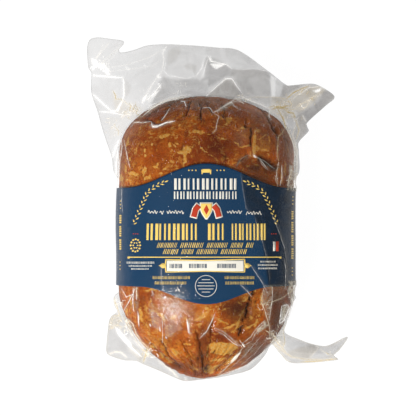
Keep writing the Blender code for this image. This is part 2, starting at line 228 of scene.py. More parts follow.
# Cream fat, in photo spots: middle, length, width, slant in degrees, and strength
FAT_PATCHES = [
    (186.5, 150, 8, 6, 10, 1.3), (180.5, 153, 6, 3, 15, 0.9), (185, 158, 8, 3, 85, 1.1),
    (184, 164, 6, 1.5, 95, 0.9), (198, 131.5, 10, 3.5, 8, 1.0), (166, 135, 9, 2.5, -12, 0.9),
    (160, 136.5, 4, 3, 20, 0.9), (141.5, 144, 2.5, 3, 0, 0.8), (145, 150.5, 3, 4, 15, 1.0),
    (145, 155, 3, 3, 0, 0.9), (135.5, 150, 2, 4, 5, 0.9), (150.5, 144.6, 2.5, 2.5, 0, 1.0),
    (133, 174, 7, 4, 10, 1.1), (143.8, 171, 3, 9, 8, 1.0), (147, 177.5, 8, 3, -42, 1.0),
    (157, 164.5, 2.5, 4, 20, 1.0), (124.5, 168.5, 2.5, 8, -5, 0.9), (129, 159.5, 2.5, 3, 0, 0.9),
    (179, 124.6, 4, 3, 30, 0.8), (169.3, 144, 2.5, 4, 15, 0.9), (126.5, 143, 1.8, 9, 15, 0.8),
    (177, 143, 3, 2, 20, 0.8), (164, 168.5, 5, 2.5, -20, 0.8), (155, 167, 5, 2.5, 20, 0.8),
    (160.5, 173, 4, 2.5, -20, 0.9), (121, 178, 3, 8, -12, 0.9), (127, 180, 4, 2.5, -30, 0.8),
    (199.5, 144.5, 1.2, 8, -8, 0.9), (203, 151, 8, 1.3, 52, 0.8), (229, 119.5, 6, 4, -30, 0.9),
    (226, 124, 4, 2.5, 0, 0.7), (244, 127, 6, 3, -30, 0.9), (238, 129.5, 6, 1.5, 20, 0.7),
    (254.6, 143, 2.6, 24, 3, 1.4), (255, 149.5, 4, 11, 4, 1.4), (258, 131, 6, 2.5, 10, 0.7),
    (262, 137, 12, 1.6, -28, 0.8), (270, 139, 1.6, 10, 0, 0.7), (273.5, 131, 1.5, 8, -25, 0.6),
    (246, 146, 12, 1.7, -14, 0.9), (257.5, 148, 5, 6, 0, 0.8), (264, 149.5, 12, 2.2, 8, 0.7),
    (237, 144, 10, 2, 38, 0.8), (269, 154, 4, 3, 30, 0.6), (208, 133, 7, 1.6, 25, 0.8),
    (222, 138, 14, 1.6, 22, 0.7), (208, 153, 14, 1.4, 38, 0.7), (217, 160, 6, 1.4, 30, 0.6),
    (151, 289.5, 13, 2.6, -8, 0.9), (140, 315, 3, 12, -8, 0.8), (173.5, 317, 7, 3, -40, 1.0),
    (161, 316, 8, 2.4, 25, 1.1), (164, 320, 4, 2, 60, 0.9), (200, 319, 12, 2.4, -22, 1.0),
    (205, 314, 11, 2.2, -35, 1.0), (209, 309, 8, 2, 5, 0.9), (200, 324, 7, 2, -20, 0.8),
    (152, 348, 9, 3, 10, 0.8), (175, 352, 8, 4, 30, 1.0), (168, 362, 10, 3, 35, 0.9),
    (187, 345, 7, 2, -12, 0.9), (223, 347.5, 23, 7, 3, 1.6), (222, 353, 19, 5, 5, 1.3),
    (219, 360.5, 15, 2, -8, 0.9), (209, 371, 9, 6, -15, 1.4), (216, 368, 8, 3, -25, 1.0),
    (230, 327, 12, 2, -20, 0.9), (222, 321.5, 14, 2, 25, 0.8), (256.5, 323, 2.4, 8, 20, 1.0),
    (250, 327, 8, 2, -30, 1.0), (238, 325, 2.4, 16, 18, 1.0), (243, 311, 14, 1.8, -48, 0.9),
    (232, 332, 9, 1.7, 15, 0.8), (254.5, 291, 6, 2, -40, 1.0), (246, 299, 10, 2, -45, 0.9),
    (235, 313, 9, 1.4, -65, 0.7), (130, 300, 2, 12, -8, 0.9), (126, 312, 2, 8, -10, 0.8),
    (195, 370, 6, 3, 20, 0.9), (231, 362, 10, 2.4, -45, 0.9), (207.5, 352, 1.6, 12, 8, 0.8),
    (262, 299, 3, 12, 5, 0.8), (251, 318, 3, 4, 0, 0.8), (213, 316, 1.4, 16, 14, 0.8),
    (186, 319.5, 2, 4, 0, 0.9), (205, 301.5, 11, 1.4, -8, 0.8), (150, 302, 7, 2, -60, 0.7),
    (137, 293, 2, 10, 5, 0.7), (161, 357, 7, 2, 40, 0.8), (240, 303, 8, 1.4, 40, 0.7),
    (227, 309, 10, 1.3, -20, 0.6), (257, 165, 6, 2, 20, 0.9), (248, 166, 5, 2, -10, 0.8),
    (262, 169, 4, 1.5, 30, 0.7), (243, 170, 5, 1.5, -40, 0.7), (268, 176, 8, 1.4, 50, 0.6),
    (286, 168, 2, 14, 0, 0.8), (289, 150, 1.5, 12, -8, 0.6), (282, 178, 2, 10, 0, 0.8),
]

# Broad tones of the ham, in photo spots: middle, half width, half height, and strength. The smoky tones are
# partly painted shade where the ham turns from the light and under its pleats, and the shaded patches are
# painted shade in its hollows.
SMOKY_AND_SHADE_PATCHES = [
    (200, 98, 90, 12, 0.65), (165, 108, 30, 9, 0.5), (268, 125, 26, 34, 0.85), (240, 112, 22, 16, 0.55),
    (262, 172, 20, 13, 0.95), (286, 150, 10, 50, 0.95), (241, 137, 6, 10, 0.6), (281, 305, 12, 30, 0.95),
    (262, 350, 22, 14, 0.8), (200, 362, 8, 16, 0.7), (205, 345, 6, 20, 0.55), (121, 150, 4, 30, 0.45),
    (163, 368, 22, 4, 0.5), (150, 358, 12, 5, 0.4), (252, 306, 6, 22, 0.5), (141, 300, 5, 10, 0.35),
    (212, 102, 20, 8, 0.5), (130, 136, 8, 12, 0.25), (244, 162, 8, 6, 0.55), (273, 146, 7, 16, 0.6),
]
RED_PATCHES = [
    (219, 145, 22, 20, 1.3), (205, 160, 18, 10, 0.7), (166, 150, 16, 12, 0.4), (148, 156, 28, 20, 0.45),
    (222, 337, 12, 6, 0.9), (236, 307, 15, 13, 1.1), (200, 335, 8, 20, 0.6), (150, 372, 24, 8, 0.6),
    (138, 302, 8, 14, 0.5), (262, 163, 6, 4, 0.7), (185, 364, 14, 6, 0.5), (191, 310, 5, 10, 0.5),
    (149, 297, 5, 8, 0.6),
]
# Painted shade in the ham's hollows and under its folds
SHADED_PATCHES = [
    (248, 161.5, 8, 4.5, 0.8), (243, 168, 5, 4, 0.6), (262.5, 159, 6, 3.4, 1.2),
    (268.5, 162.5, 6.5, 4.5, 1.3), (275, 167, 5.5, 6, 1.2), (264, 175, 14, 8, 0.65),
    (246, 165, 6, 5, 0.9), (254, 168, 9, 5.5, 1.1), (264, 172, 8, 6, 0.8), (236, 310, 14, 13, 1.0),
    (219, 148, 20, 14, 0.35), (203, 350, 6, 18, 0.35), (206, 368, 5, 8, 0.6), (248, 312, 5, 14, 0.45),
    (276, 322, 9, 24, 0.85), (256, 353, 18, 12, 0.7), (276, 300, 8, 14, 0.7), (242, 331, 4, 6, 0.5),
    (152, 361, 12, 4, 0.35), (168, 371, 16, 3, 0.4), (254, 291, 4, 5, 0.5), (240, 160, 5, 5, 0.4),
    (176, 368, 14, 3, 0.3), (253, 128, 3, 4, 0.5),
]
GOLDEN_PATCHES = [
    (150, 160, 24, 18, 0.3), (165, 345, 24, 14, 0.9), (205, 312, 12, 10, 0.7), (245, 318, 16, 18, 0.8),
    (145, 318, 16, 20, 0.4), (265, 146, 9, 12, 0.8), (248, 130, 8, 8, 0.5), (222, 365, 16, 6, 0.9),
    (128, 175, 8, 12, 0.7), (232, 296, 20, 4, 0.4), (172, 128, 20, 8, 0.35), (262, 292, 8, 10, 0.5),
]

# Creases of the film, in photo spots: half width in pixels, how white, which is partly whitened film and
# partly a painted highlight, how amber, and the route
FILM_CREASES = [
    (1.4, 1.0, 0.9, [(269, 107.5), (274, 106), (279, 108.5), (284, 106.5), (291, 105.5)]),
    (1.2, 1.0, 1.0, [(272, 109), (278, 106.5), (286, 108.5), (290, 110.5)]),
    (1.2, 1.0, 1.0, [(284, 109.5), (289, 112.5), (293, 113), (295.5, 118)]),
    (0.8, 0.9, 1.0, [(277, 108), (280, 113), (283.5, 120), (286, 129)]),
    (0.7, 0.8, 0.7, [(285, 105), (288.5, 101), (292, 104.5), (290, 110), (295, 109), (299, 104)]),
    (0.8, 0.9, 1.0, [(286, 99.5), (293, 93), (301, 89), (309, 86)]),
    (0.8, 0.9, 0.3, [(300, 103), (303, 108), (305.5, 107.5)]),
    (0.6, 0.8, 0.7, [(296, 110), (301, 104), (307, 101.5), (312, 98), (317, 94.5)]),
    (0.6, 0.7, 0.9, [(290, 113), (296, 121), (299, 130), (296, 140)]),
    (0.7, 0.9, 0.5, [(122.5, 99), (127, 104), (132, 107), (137, 110.5), (142, 114)]),
    (0.7, 0.9, 0.8, [(129, 102.5), (131, 106), (129.5, 110.5), (134, 112)]),
    (0.6, 0.9, 0.8, [(135, 105), (138, 109), (136, 113.5), (141, 117)]),
    (0.6, 0.8, 0.9, [(112.5, 90), (116, 96), (114.5, 101)]),
    (0.6, 0.8, 0.8, [(115, 127), (119, 131), (118, 136)]),
    (0.35, 0.35, 0.2, [(95, 60), (101, 50), (104, 42)]),
    (0.35, 0.35, 0.2, [(103, 66), (114, 56), (121, 45)]),
    (0.35, 0.35, 0.2, [(108, 68), (130, 64), (150, 57), (164, 49)]),
    (0.35, 0.35, 0.2, [(110, 71), (132, 69), (152, 66), (163, 59)]),
    (0.5, 0.25, 0.0, [(272, 214), (279, 232), (284, 246), (287, 262)]),
    (0.5, 0.35, 0.0, [(284, 258), (286, 270), (285, 290)]),
    (0.4, 0.14, 0.0, [(240.5, 172), (243, 190), (246, 208), (254, 215)]),
    (0.4, 0.14, 0.0, [(254, 215), (262, 240), (268, 262), (270, 284)]),
    (0.6, 0.25, 0.0, [(250, 264), (262, 282), (268, 294)]),
    (0.7, 0.3, 0.0, [(240, 284), (247, 291), (252, 297)]),
    (0.9, 0.16, 0.0, [(162, 262), (161, 276), (163, 290)]),
    (0.5, 0.3, 0.0, [(122, 184), (121.5, 200), (123, 214)]),
    (0.4, 0.22, 0.1, [(231, 368), (246, 354), (262, 335)]),
    (0.4, 0.22, 0.1, [(240, 366), (254, 354), (268, 338)]),
    (0.7, 0.45, 0.3, [(146, 112), (156, 105), (168, 100.5), (180, 99.5)]),
    (0.5, 0.4, 0.1, [(130, 128), (134, 123), (140, 121)]),
    (0.5, 0.35, 0.1, [(231, 101), (234, 106), (240, 110)]),
    (0.5, 0.35, 0.4, [(277, 172), (275.5, 179), (278, 187)]),
    (0.6, 0.7, 0.0, [(180, 101), (184.4, 101.6), (186.3, 107)]),
    (0.5, 0.5, 0.1, [(200, 108), (209.6, 107.4), (213.4, 112.5), (224, 106.7), (234.4, 99.7), (243, 95.5)]),
    (0.5, 0.38, 0.1, [(213.4, 112.5), (219, 116.3), (217.2, 122), (216, 129.7), (212, 133.5)]),
    (0.6, 0.5, 0.3, [(216, 111.8), (227.4, 103.5), (237, 101), (245, 98)]),
    (0.7, 0.7, 0.2, [(242, 96.5), (251, 101), (260, 104.2), (267.6, 108), (276.5, 108)]),
    (0.5, 0.5, 0.8, [(248.5, 97.2), (261, 97.2), (276.5, 97.2), (285.5, 99), (299.5, 89.5), (308.4, 85)]),
    (0.6, 0.7, 0.3, [(270, 109.3), (269, 115.7), (270.5, 119)]),
    (0.7, 0.5, 0.9, [(284.8, 128), (281.6, 133.5), (278.4, 137), (277.5, 147), (277.2, 155), (279, 162)]),
    (0.6, 0.4, 0.5, [(279, 161.6), (276.5, 173), (277.8, 184.5)]),
    (0.6, 0.5, 0.8, [(280.4, 114.4), (285.5, 126), (289.3, 135), (292.5, 142.4), (295, 149), (294.4, 160)]),
    (0.7, 0.6, 0.6, [(294.4, 160), (291, 172), (286.7, 187)]),
    (0.6, 0.6, 0.5, [(298.2, 119.5), (294.4, 128.4), (292.5, 135), (297, 150), (297, 170), (293, 190)]),
    (0.35, 0.5, 0.2, [(255, 156.8), (259.5, 158.5), (262, 161.5), (268, 170)]),
    (0.3, 0.4, 0.3, [(259, 157.8), (265, 161.5), (270, 165.5), (275, 169)]),
    (0.3, 0.4, 0.2, [(259.5, 159), (262.5, 165), (266.5, 169.5)]),
    (0.35, 0.25, 0.6, [(235.7, 167.5), (240.8, 159), (247.2, 155.2), (252.3, 155.2)]),
    (0.6, 0.5, 0.3, [(281.5, 165), (282, 176), (280, 186)]),
    (0.8, 1.0, 0.35, [(141.6, 117), (151.8, 108.5), (162, 102.2), (171, 98.8), (180, 97.8), (188, 96.5)]),
    (0.9, 1.0, 0.1, [(151.2, 121.5), (152.5, 126.5), (158.2, 126), (166, 122.7), (175.4, 120.8)]),
    (0.6, 0.7, 0.3, [(132.7, 122), (141.6, 122.7), (151.2, 121.5)]),
    (0.6, 0.5, 0.2, [(169.7, 108), (166, 114.4), (161, 121)]),
    (0.6, 0.6, 0.1, [(121.2, 135), (122, 147.5), (120, 160.3), (119.3, 173), (118.7, 187)]),
    (0.5, 0.5, 0.1, [(123.8, 139), (127.6, 158), (130, 168)]),
    (0.7, 1.0, 0.0, [(92, 74.8), (104, 76.3), (122.5, 77.4), (123.8, 81.2), (123.8, 95.3), (122.5, 101.6),
                     (117.4, 111.2)]),
    (0.7, 1.0, 0.0, [(91.3, 92.7), (100.8, 101.6), (111, 110.6), (117.4, 111.2)]),
    (0.6, 0.9, 0.0, [(98.3, 111.2), (111, 112.5), (123.8, 115), (131.4, 114.4)]),
    (0.8, 1.0, 0.1, [(91.3, 58.3), (95.7, 65), (103.4, 64.6), (111, 72.3)]),
    (0.8, 0.8, 0.0, [(91.9, 69.1), (95.7, 65.9), (92, 60)]),
    (0.4, 0.4, 0.3, [(94.4, 60.8), (109.7, 41.7)]),
    (0.4, 0.4, 0.3, [(100.8, 64), (117.4, 48.7)]),
    (0.5, 0.6, 0.1, [(166.5, 46), (162.7, 53), (164, 58.3), (162, 71), (158.2, 76)]),
    (0.7, 0.7, 0.1, [(158.2, 76), (149.3, 89), (141.6, 101.6)]),
    (0.9, 0.8, 0.0, [(162, 83), (154.4, 92.7), (146, 101)]),
    (0.4, 0.5, 0.0, [(166, 58), (164, 71), (168.4, 75.5), (187.6, 78.7), (194, 76)]),
    (0.6, 0.6, 0.0, [(205.4, 57), (201.6, 68), (195.2, 77.4)]),
    (0.7, 0.8, 0.0, [(208.3, 55.7), (210.8, 61), (226.8, 64.6), (231.9, 69)]),
    (0.5, 0.6, 0.0, [(208, 57), (204, 72), (201.6, 78)]),
    (0.8, 0.9, 0.0, [(206.4, 96), (214, 89), (225.5, 78.7), (231.9, 78.7), (237, 86.3), (241.5, 93)]),
    (0.4, 0.4, 0.0, [(231.9, 68.5), (243, 69.4), (254.8, 68.5), (266.3, 71), (271.4, 75)]),
    (0.5, 0.5, 0.2, [(289.3, 101.6), (297, 95.3), (309.7, 87.6), (320, 86.3), (326, 90)]),
    (0.6, 0.5, 0.7, [(276, 103), (289.3, 101), (299.5, 92), (311, 85)]),
    (0.6, 0.6, 0.6, [(289.3, 109.3), (302, 109.3), (306, 107), (311, 97.8), (320, 94)]),
    (0.6, 0.5, 0.2, [(302, 114.4), (306, 122)]),
    (1.0, 0.9, 0.0, [(120, 138.6), (116, 147.5), (112.3, 158)]),
    (0.9, 0.8, 0.0, [(117.5, 150), (116.5, 165), (116, 180)]),
    (0.6, 0.5, 0.9, [(113.6, 91.4), (116, 99), (121.2, 99), (123, 103)]),
    (0.7, 0.7, 0.4, [(107.2, 355), (114.8, 351.8), (121.2, 352.4), (127.6, 358.2)]),
    (1.3, 1.0, 0.1, [(114.8, 326.3), (121.2, 334), (130.2, 344), (131.4, 348), (136.5, 352), (141.6, 357)]),
    (0.7, 0.6, 0.7, [(109, 329), (116, 325), (124, 327)]),
    (0.8, 0.7, 0.6, [(126.3, 317.3), (132.7, 323.7), (136.5, 334), (141.6, 341.6), (148, 348),
                     (142.9, 363.3)]),
    (0.7, 0.6, 0.5, [(120, 315), (126.3, 321), (129, 329), (136.5, 341.6), (144.2, 350.5), (157, 359.4)]),
    (0.7, 0.6, 0.4, [(157, 359.4), (172.2, 371), (178.6, 378)]),
    (0.6, 0.6, 0.7, [(114, 300), (116, 308), (119.5, 315), (113, 319), (110, 328)]),
    (0.5, 0.6, 0.1, [(133.3, 288), (132.7, 302), (134, 312)]),
    (0.5, 0.6, 0.1, [(136.5, 287), (136.5, 300)]),
    (0.5, 0.6, 0.1, [(121.2, 288), (126.3, 297), (132.7, 294.4), (135.3, 288)]),
    (0.5, 0.6, 0.1, [(132.7, 294.4), (123.8, 311)]),
    (0.4, 0.5, 0.2, [(162, 316), (162.7, 330), (162.5, 343)]),
    (0.9, 0.8, 1.0, [(147.5, 347), (146, 354), (143, 363)]),
    (0.8, 0.8, 0.9, [(141, 349), (146, 351.5), (149, 349)]),
    (0.6, 0.8, 0.9, [(114, 296), (116, 304), (119, 312), (121, 317)]),
    (0.6, 0.7, 0.8, [(110, 321), (113, 316), (119, 315), (122, 320)]),
    (0.6, 0.8, 0.8, [(272, 331), (276, 341), (284, 350), (287, 354)]),
    (0.6, 0.8, 0.9, [(286, 322), (283, 332), (285, 341), (282, 350)]),
    (0.45, 0.6, 0.2, [(215.6, 312), (211.8, 321), (206.7, 331.4), (199, 339)]),
    (1.1, 0.20, 0.3, [(214, 327.5), (223, 331.5), (231, 338), (237, 344), (241, 345.5)]),
    (0.4, 0.55, 0.3, [(214, 329.5), (224, 335), (233, 343), (238.3, 345.8), (246, 344.5), (252.3, 340.3)]),
    (0.5, 0.5, 0.4, [(252.3, 340.3), (254.8, 334), (261.2, 326.3), (266.3, 322.4)]),
    (0.5, 0.5, 0.5, [(243, 343), (251, 336.5), (256, 329), (265, 320)]),
    (0.7, 0.5, 0.6, [(263.8, 288), (261.2, 302), (265, 311), (267.6, 320), (269.5, 327.6), (269.5, 340)]),
    (0.5, 0.5, 0.3, [(272.7, 286.7), (272, 302), (270, 315), (269, 320)]),
    (0.6, 0.5, 0.7, [(261.2, 304.6), (271.4, 302), (281.6, 298.2), (289.3, 293), (294.4, 286.7)]),
    (0.6, 0.6, 0.4, [(286.7, 288), (289.3, 297), (294.4, 302), (289.3, 311), (286.7, 322.4), (284, 331.4)]),
    (0.7, 0.8, 0.1, [(281.6, 306), (288, 304.6), (289.3, 308.4), (284.2, 320), (279.7, 323.7), (281.6, 306)]),
    (0.7, 0.5, 0.8, [(270, 340), (276.5, 346.7), (284, 352), (291.8, 357), (306, 359.4), (327.6, 359.4)]),
    (0.6, 0.5, 0.6, [(270, 341), (278, 352), (286.7, 360.7), (290.6, 362)]),
    (0.4, 0.4, 0.4, [(308.4, 359.4), (318.6, 348), (314.8, 344)]),
    (0.4, 0.4, 0.5, [(318.6, 348), (327.6, 354.3), (335, 357)]),
    (0.7, 0.9, 0.9, [(300, 362), (322.4, 360.8), (337, 358.6)]),
    (0.5, 0.6, 0.6, [(243.4, 346.7), (235.7, 358), (225.5, 368.4), (217, 376)]),
    (0.6, 0.5, 0.2, [(269, 344), (260, 355.6), (248.5, 364.5), (232, 371), (218, 375.4)]),
]

# Facets of the loose film, in photo spots: how much of the film's grey shows, a painted shade that each facet
# gets from how it faces the light, how amber, and the outline
LOOSE_FACETS = [
    (0.21, 0.0, [(163, 47), (182, 45), (206, 47), (208, 56), (196, 76), (190, 79), (168, 75), (163, 66)]),
    (0.26, 0.1, [(169, 50), (179, 46), (181, 52), (176, 60), (168, 66), (167, 57)]),
    (0.29, 0.1, [(184, 66), (190, 63), (196, 66), (195, 75), (191, 70), (185, 68)]),
    (0.34, 0.0, [(163, 77), (177, 80), (196, 79), (208, 84), (206, 107), (168, 107), (152, 104),
                 (158, 84)]),
    (0.25, 0.0, [(206, 46), (240, 49), (268, 71), (262, 70), (231, 68), (225, 64), (210, 57), (206, 54)]),
    (0.38, 0.0, [(196, 77), (206, 58), (209, 57), (209, 78), (203, 81), (197, 80)]),
    (0.20, 0.0, [(195, 78), (204, 60), (205, 77), (200, 81)]),
    (0.42, 0.0, [(209, 57), (228, 65), (232, 70), (222, 80), (208, 87), (208, 70)]),
    (0.40, 0.1, [(232, 69), (262, 70), (268, 73), (271, 112), (243, 107), (236, 84), (230, 78)]),
    (0.47, 0.2, [(207, 95), (224, 79), (232, 79), (241, 93), (242, 108), (207, 108)]),
    (0.27, 0.0, [(270, 74), (283, 80), (284, 87), (280, 99), (271, 99)]),
    (0.45, 0.1, [(283, 86), (300, 85), (300, 92), (290, 101), (280, 100)]),
    (0.40, 0.6, [(272, 97), (288, 97), (300, 104), (292, 110), (285, 122), (268, 112)]),
    (0.40, 0.5, [(292, 98), (306, 87), (320, 86), (325, 90), (319, 97), (308, 108), (298, 114), (291, 106)]),
    (0.46, 0.2, [(307, 88), (313, 87), (311, 93), (307, 94)]),
    (0.51, 0.0, [(325, 88), (336, 97), (330, 100), (319, 104), (322, 94)]),
    (0.48, 0.0, [(302, 114), (309, 108), (320, 101), (332, 99), (320, 112), (306, 126)]),
    (0.46, 0.2, [(297, 115), (302, 114), (306, 124), (306, 130), (302, 140), (297, 155), (293, 140)]),
    (0.20, 0.1, [(124, 78), (131, 86), (130, 92), (125, 99), (123, 96)]),
    (0.17, 0.5, [(112, 90), (117, 98), (122, 101), (135, 103), (144, 108), (136, 120), (122, 118),
                 (115, 111)]),
    (0.15, 0.3, [(108, 117), (130, 118), (124, 134), (110, 140)]),
    (0.36, 0.25, [(288, 352), (300, 347), (314, 344), (318, 349), (308, 360), (292, 357)]),
    (0.30, 0.3, [(131, 343), (146, 357), (142, 364), (129, 350)]),
    (0.28, 0.5, [(108, 320), (114, 315), (120, 316), (120, 326), (109, 330)]),
    (0.32, 0.4, [(270, 326), (287, 324), (284, 332), (284, 352), (270, 345)]),
    (0.34, 0.0, [(242, 369), (258, 358), (270, 346), (271, 343), (264, 360), (250, 371), (236, 376)]),
]

# Places where the loose film catches the light, in photo spots: strength and outline
LOOSE_GLINTS = [
    (0.6, [(91, 58), (96, 59.5), (98, 62), (97, 65), (92, 63.5)]),
    (0.55, [(97, 63), (102, 64), (105, 68), (101, 70), (98, 67)]),
    (0.7, [(103, 70), (107, 70), (111, 75), (107.5, 75.5)]),
    (1.0, [(123, 99), (121, 104), (118.5, 112), (116, 110)]),
    (1.0, [(156.5, 76), (158, 74.5), (161, 77.5), (157.5, 79)]),
    (0.8, [(157.5, 83), (160, 84), (161.5, 89), (159.5, 88)]),
    (0.8, [(151, 90), (147.5, 96), (143, 104.5), (141.5, 102.5), (146, 95)]),
    (0.6, [(155, 92), (160, 90), (155, 97), (148.5, 104), (150, 99)]),
    (1.0, [(210.5, 64), (226, 64), (221, 67), (216, 69), (213, 67)]),
    (0.7, [(208.5, 56), (211, 57), (213, 62), (210, 61)]),
    (1.0, [(313, 91), (321, 88), (320, 91.5), (316, 92.5)]),
    (1.0, [(116, 327.5), (118.5, 329), (125, 336.5), (131, 343.5), (130.5, 346.5), (124, 340.5), (118, 333)]),
    (0.5, [(163, 50), (166.5, 46), (165, 51), (162.5, 53)]),
    (0.5, [(144, 64), (146.5, 66), (145.5, 68), (143.5, 65.5)]),
    (0.5, [(125, 66), (130, 69), (128, 70.5), (125, 68)]),
    (0.5, [(93, 75), (123, 77), (122, 78.5), (93, 76.5)]),
    (0.4, [(270.5, 75), (276, 78), (275, 97), (271.5, 97)]),
]

# Where the band's navy is painted darker and greyer, as painted shade on its right-hand part, which turns
# from the light and lies under a fold of the film, in photo spots: strength and outline
DULLED = [
    (0.85, [(240.4, 160), (242, 183), (244.4, 194.6), (246.7, 210), (254, 215), (262, 240), (270, 296),
            (304, 296), (304, 160)]),
]

# Veils where the tight film bridges hollows in the ham, and painted sheen and reflections where its gloss
# catches the light, in photo spots: strength and outline
VEILS_AND_SHEEN = [
    (0.24, [(262.9, 285), (272, 285), (272, 303), (264, 306), (260.4, 304.5)]),
    (0.45, [(262, 303.5), (272, 303), (270.7, 306), (269.5, 320.7), (266, 315), (264, 306)]),
    (0.42, [(264, 320), (268.5, 325), (259.5, 333), (251.8, 338), (254, 331.8)]),
    (0.35, [(268.5, 322), (271, 330), (276, 337), (281, 341), (274, 347), (269.5, 338)]),
    (0.85, [(281.5, 308), (283.5, 304.6), (287, 304.6), (288.6, 307.5), (287, 314), (284, 321), (281, 325.5),
            (280.6, 319)]),
    (0.66, [(287.3, 281), (298, 281), (296, 295), (291.8, 306), (289.5, 300.7), (287.3, 290.7)]),
    (0.10, [(272.3, 284), (287.3, 284), (287.3, 292), (281.8, 299.5), (273, 301.8)]),
    (0.05, [(240.7, 347), (255, 334), (268.4, 327.3), (269.5, 337.3), (251.8, 355), (230, 370)]),
    (0.20, [(215, 328.4), (238.4, 341.8), (236, 345), (230.7, 339.5)]),
    (0.30, [(213.4, 112.5), (218.4, 107.3), (235, 97.3), (244, 96.2), (241.8, 100.7), (221.8, 110.7)]),
    (0.08, [(252.9, 154), (259.5, 158.4), (266.2, 163), (276, 170), (270.7, 171), (261.8, 163)]),
    (0.08, [(240, 157), (252, 154.5), (250, 158), (240, 163), (236, 169), (235, 165)]),
    (0.12, [(277, 100), (290, 108), (297, 130), (299, 160), (299, 192), (290, 190), (288, 150), (281, 120)]),
    (0.45, [(289, 164), (299.5, 160), (299.5, 192), (286, 190)]),
    (0.50, [(116, 300), (120, 312), (133, 324), (131, 346), (124, 336), (115, 322)]),
    (0.16, [(133, 287), (139, 287), (138, 316), (134, 312)]),
    (0.20, [(160, 297), (169, 296), (171, 304), (168, 316), (165, 322), (160, 310)]),
    (0.12, [(225, 372), (239, 360), (253, 337), (262, 340), (269, 335), (267, 341), (245, 359), (227, 372)]),
    (0.22, [(186, 317), (190, 320), (192, 335), (189, 334)]),
    (0.18, [(148, 302), (153, 303), (156, 318), (153, 324), (149, 314)]),
]

# Soft pale clouds on the tight film, painted sheen and reflections of the light, in photo spots: middle, half
# width, half height, and strength
SHEEN_CLOUDS = [
    (131, 136, 12, 18, 0.02), (200, 100, 56, 9, 0.07), (241, 137, 6, 11, 0.06), (173, 309, 14, 14, 0.20),
    (155, 306, 6, 16, 0.06), (190, 322, 4, 16, 0.08), (262, 120, 20, 16, 0.03), (290, 140, 7, 44, 0.05),
    (278, 310, 8, 20, 0.02), (120, 240, 4, 60, 0.02), (119, 160, 4, 34, 0.05), (176, 291, 12, 9, 0.09),
    (168, 273, 6, 12, 0.05), (172, 327, 9, 12, 0.05), (155, 318, 7, 12, 0.05), (188, 320, 4, 14, 0.06),
]

# Places where the tight film catches the light, in photo spots: strength and outline
TIGHT_GLINTS = [
    (1.0, [(252.8, 155), (254.2, 154.8), (256.4, 157.2), (255, 157.6)]),
    (0.7, [(151.2, 122.5), (153, 125), (158, 124.5), (158, 127.5), (152.5, 128)]),
    (0.8, [(163.6, 297.5), (165.4, 296), (166.2, 297), (164.6, 299.2)]),
    (0.4, [(151.5, 290.5), (153, 290), (153.5, 295), (152.5, 296)]),
    (0.9, [(186.8, 321), (188, 322), (188.8, 327), (189.6, 334.5), (188.6, 333), (187.5, 327)]),
    (0.5, [(179.4, 312.6), (180.6, 313), (182, 317), (180.6, 317.4)]),
    (0.7, [(149.2, 323.6), (150.2, 323.8), (151.6, 326.4), (150.4, 326.6)]),
    (0.7, [(159, 327), (160.2, 327.6), (160.9, 331.4), (159.8, 331)]),
    (0.6, [(165.2, 336.4), (166.8, 337.4), (167.2, 339), (165.6, 338.4)]),
    (0.5, [(170.4, 320.2), (172.6, 320), (173, 321.2), (171, 321.4)]),
    (0.7, [(137.8, 311), (139.2, 316), (139, 327), (138, 322)]),
    (1.0, [(231, 361.6), (236, 356), (240.4, 351.6), (240.2, 353.6), (236, 358.8), (231, 363.4)]),
    (0.16, [(164.6, 304), (174.3, 303), (180, 310), (182.1, 317), (180, 323), (182.9, 330), (175.7, 331.4),
            (171.4, 337), (165, 338), (164.3, 324.3), (168.6, 323), (167, 315.7), (164.3, 310)]),
    (0.18, [(151.5, 311), (157, 312), (161.4, 320), (161.4, 330), (159, 331), (152, 326), (151, 320)]),
]

# Places where the film is finely crumpled, in photo spots: middle, reach, how many crinkles, how amber. The
# crinkles are pale glowing strips, partly painted highlights.
CRUMPLES = [
    (284, 107, 11, 50, 1.0), (131, 110, 10, 40, 1.0), (308, 95, 12, 22, 1.0), (104, 66, 9, 20, 0.2),
    (114, 128, 10, 18, 0.6), (179, 291, 8, 8, 0.0), (124, 327, 9, 40, 0.7), (113, 322, 7, 24, 1.0),
    (277, 336, 9, 40, 0.8), (264, 306, 6, 10, 0.8), (331, 357, 5, 10, 0.9), (150, 352, 8, 12, 0.7),
    (243, 98, 6, 14, 0.7), (150, 97, 12, 12, 0.1), (180, 90, 10, 14, 0.3), (243, 344, 6, 5, 0.5),
    (290, 178, 9, 6, 0.5), (292, 120, 10, 10, 0.8), (118, 304, 6, 18, 0.7), (146, 354, 4, 16, 0.9),
]
CRINKLE_LEGS = (1, 2)
CRINKLE_LEG = (1.3, 3.0)
CRINKLE_BEND = 0.9
CRINKLE_WIDTH = (0.35, 0.8)
CRINKLE_MILK_AND_GLINT = (0.5, 1.0)

# Short pale glints scattered over the tight film: middle, half width, half height, and how many
SPARKS = [
    (190, 105, 52, 9, 100), (250, 116, 30, 18, 55), (165, 160, 42, 26, 30), (200, 335, 62, 40, 30),
    (282, 150, 10, 34, 40),
]
SPARK_LENGTH = (1.0, 3.2)
SPARK_WIDTH = (0.25, 0.45)
SPARK_GLINT = (0.3, 0.8)
SPARK_MIDDLE = 200  # the middle, across and down the photo, from which sparks fan out
SPARK_FAN = 60

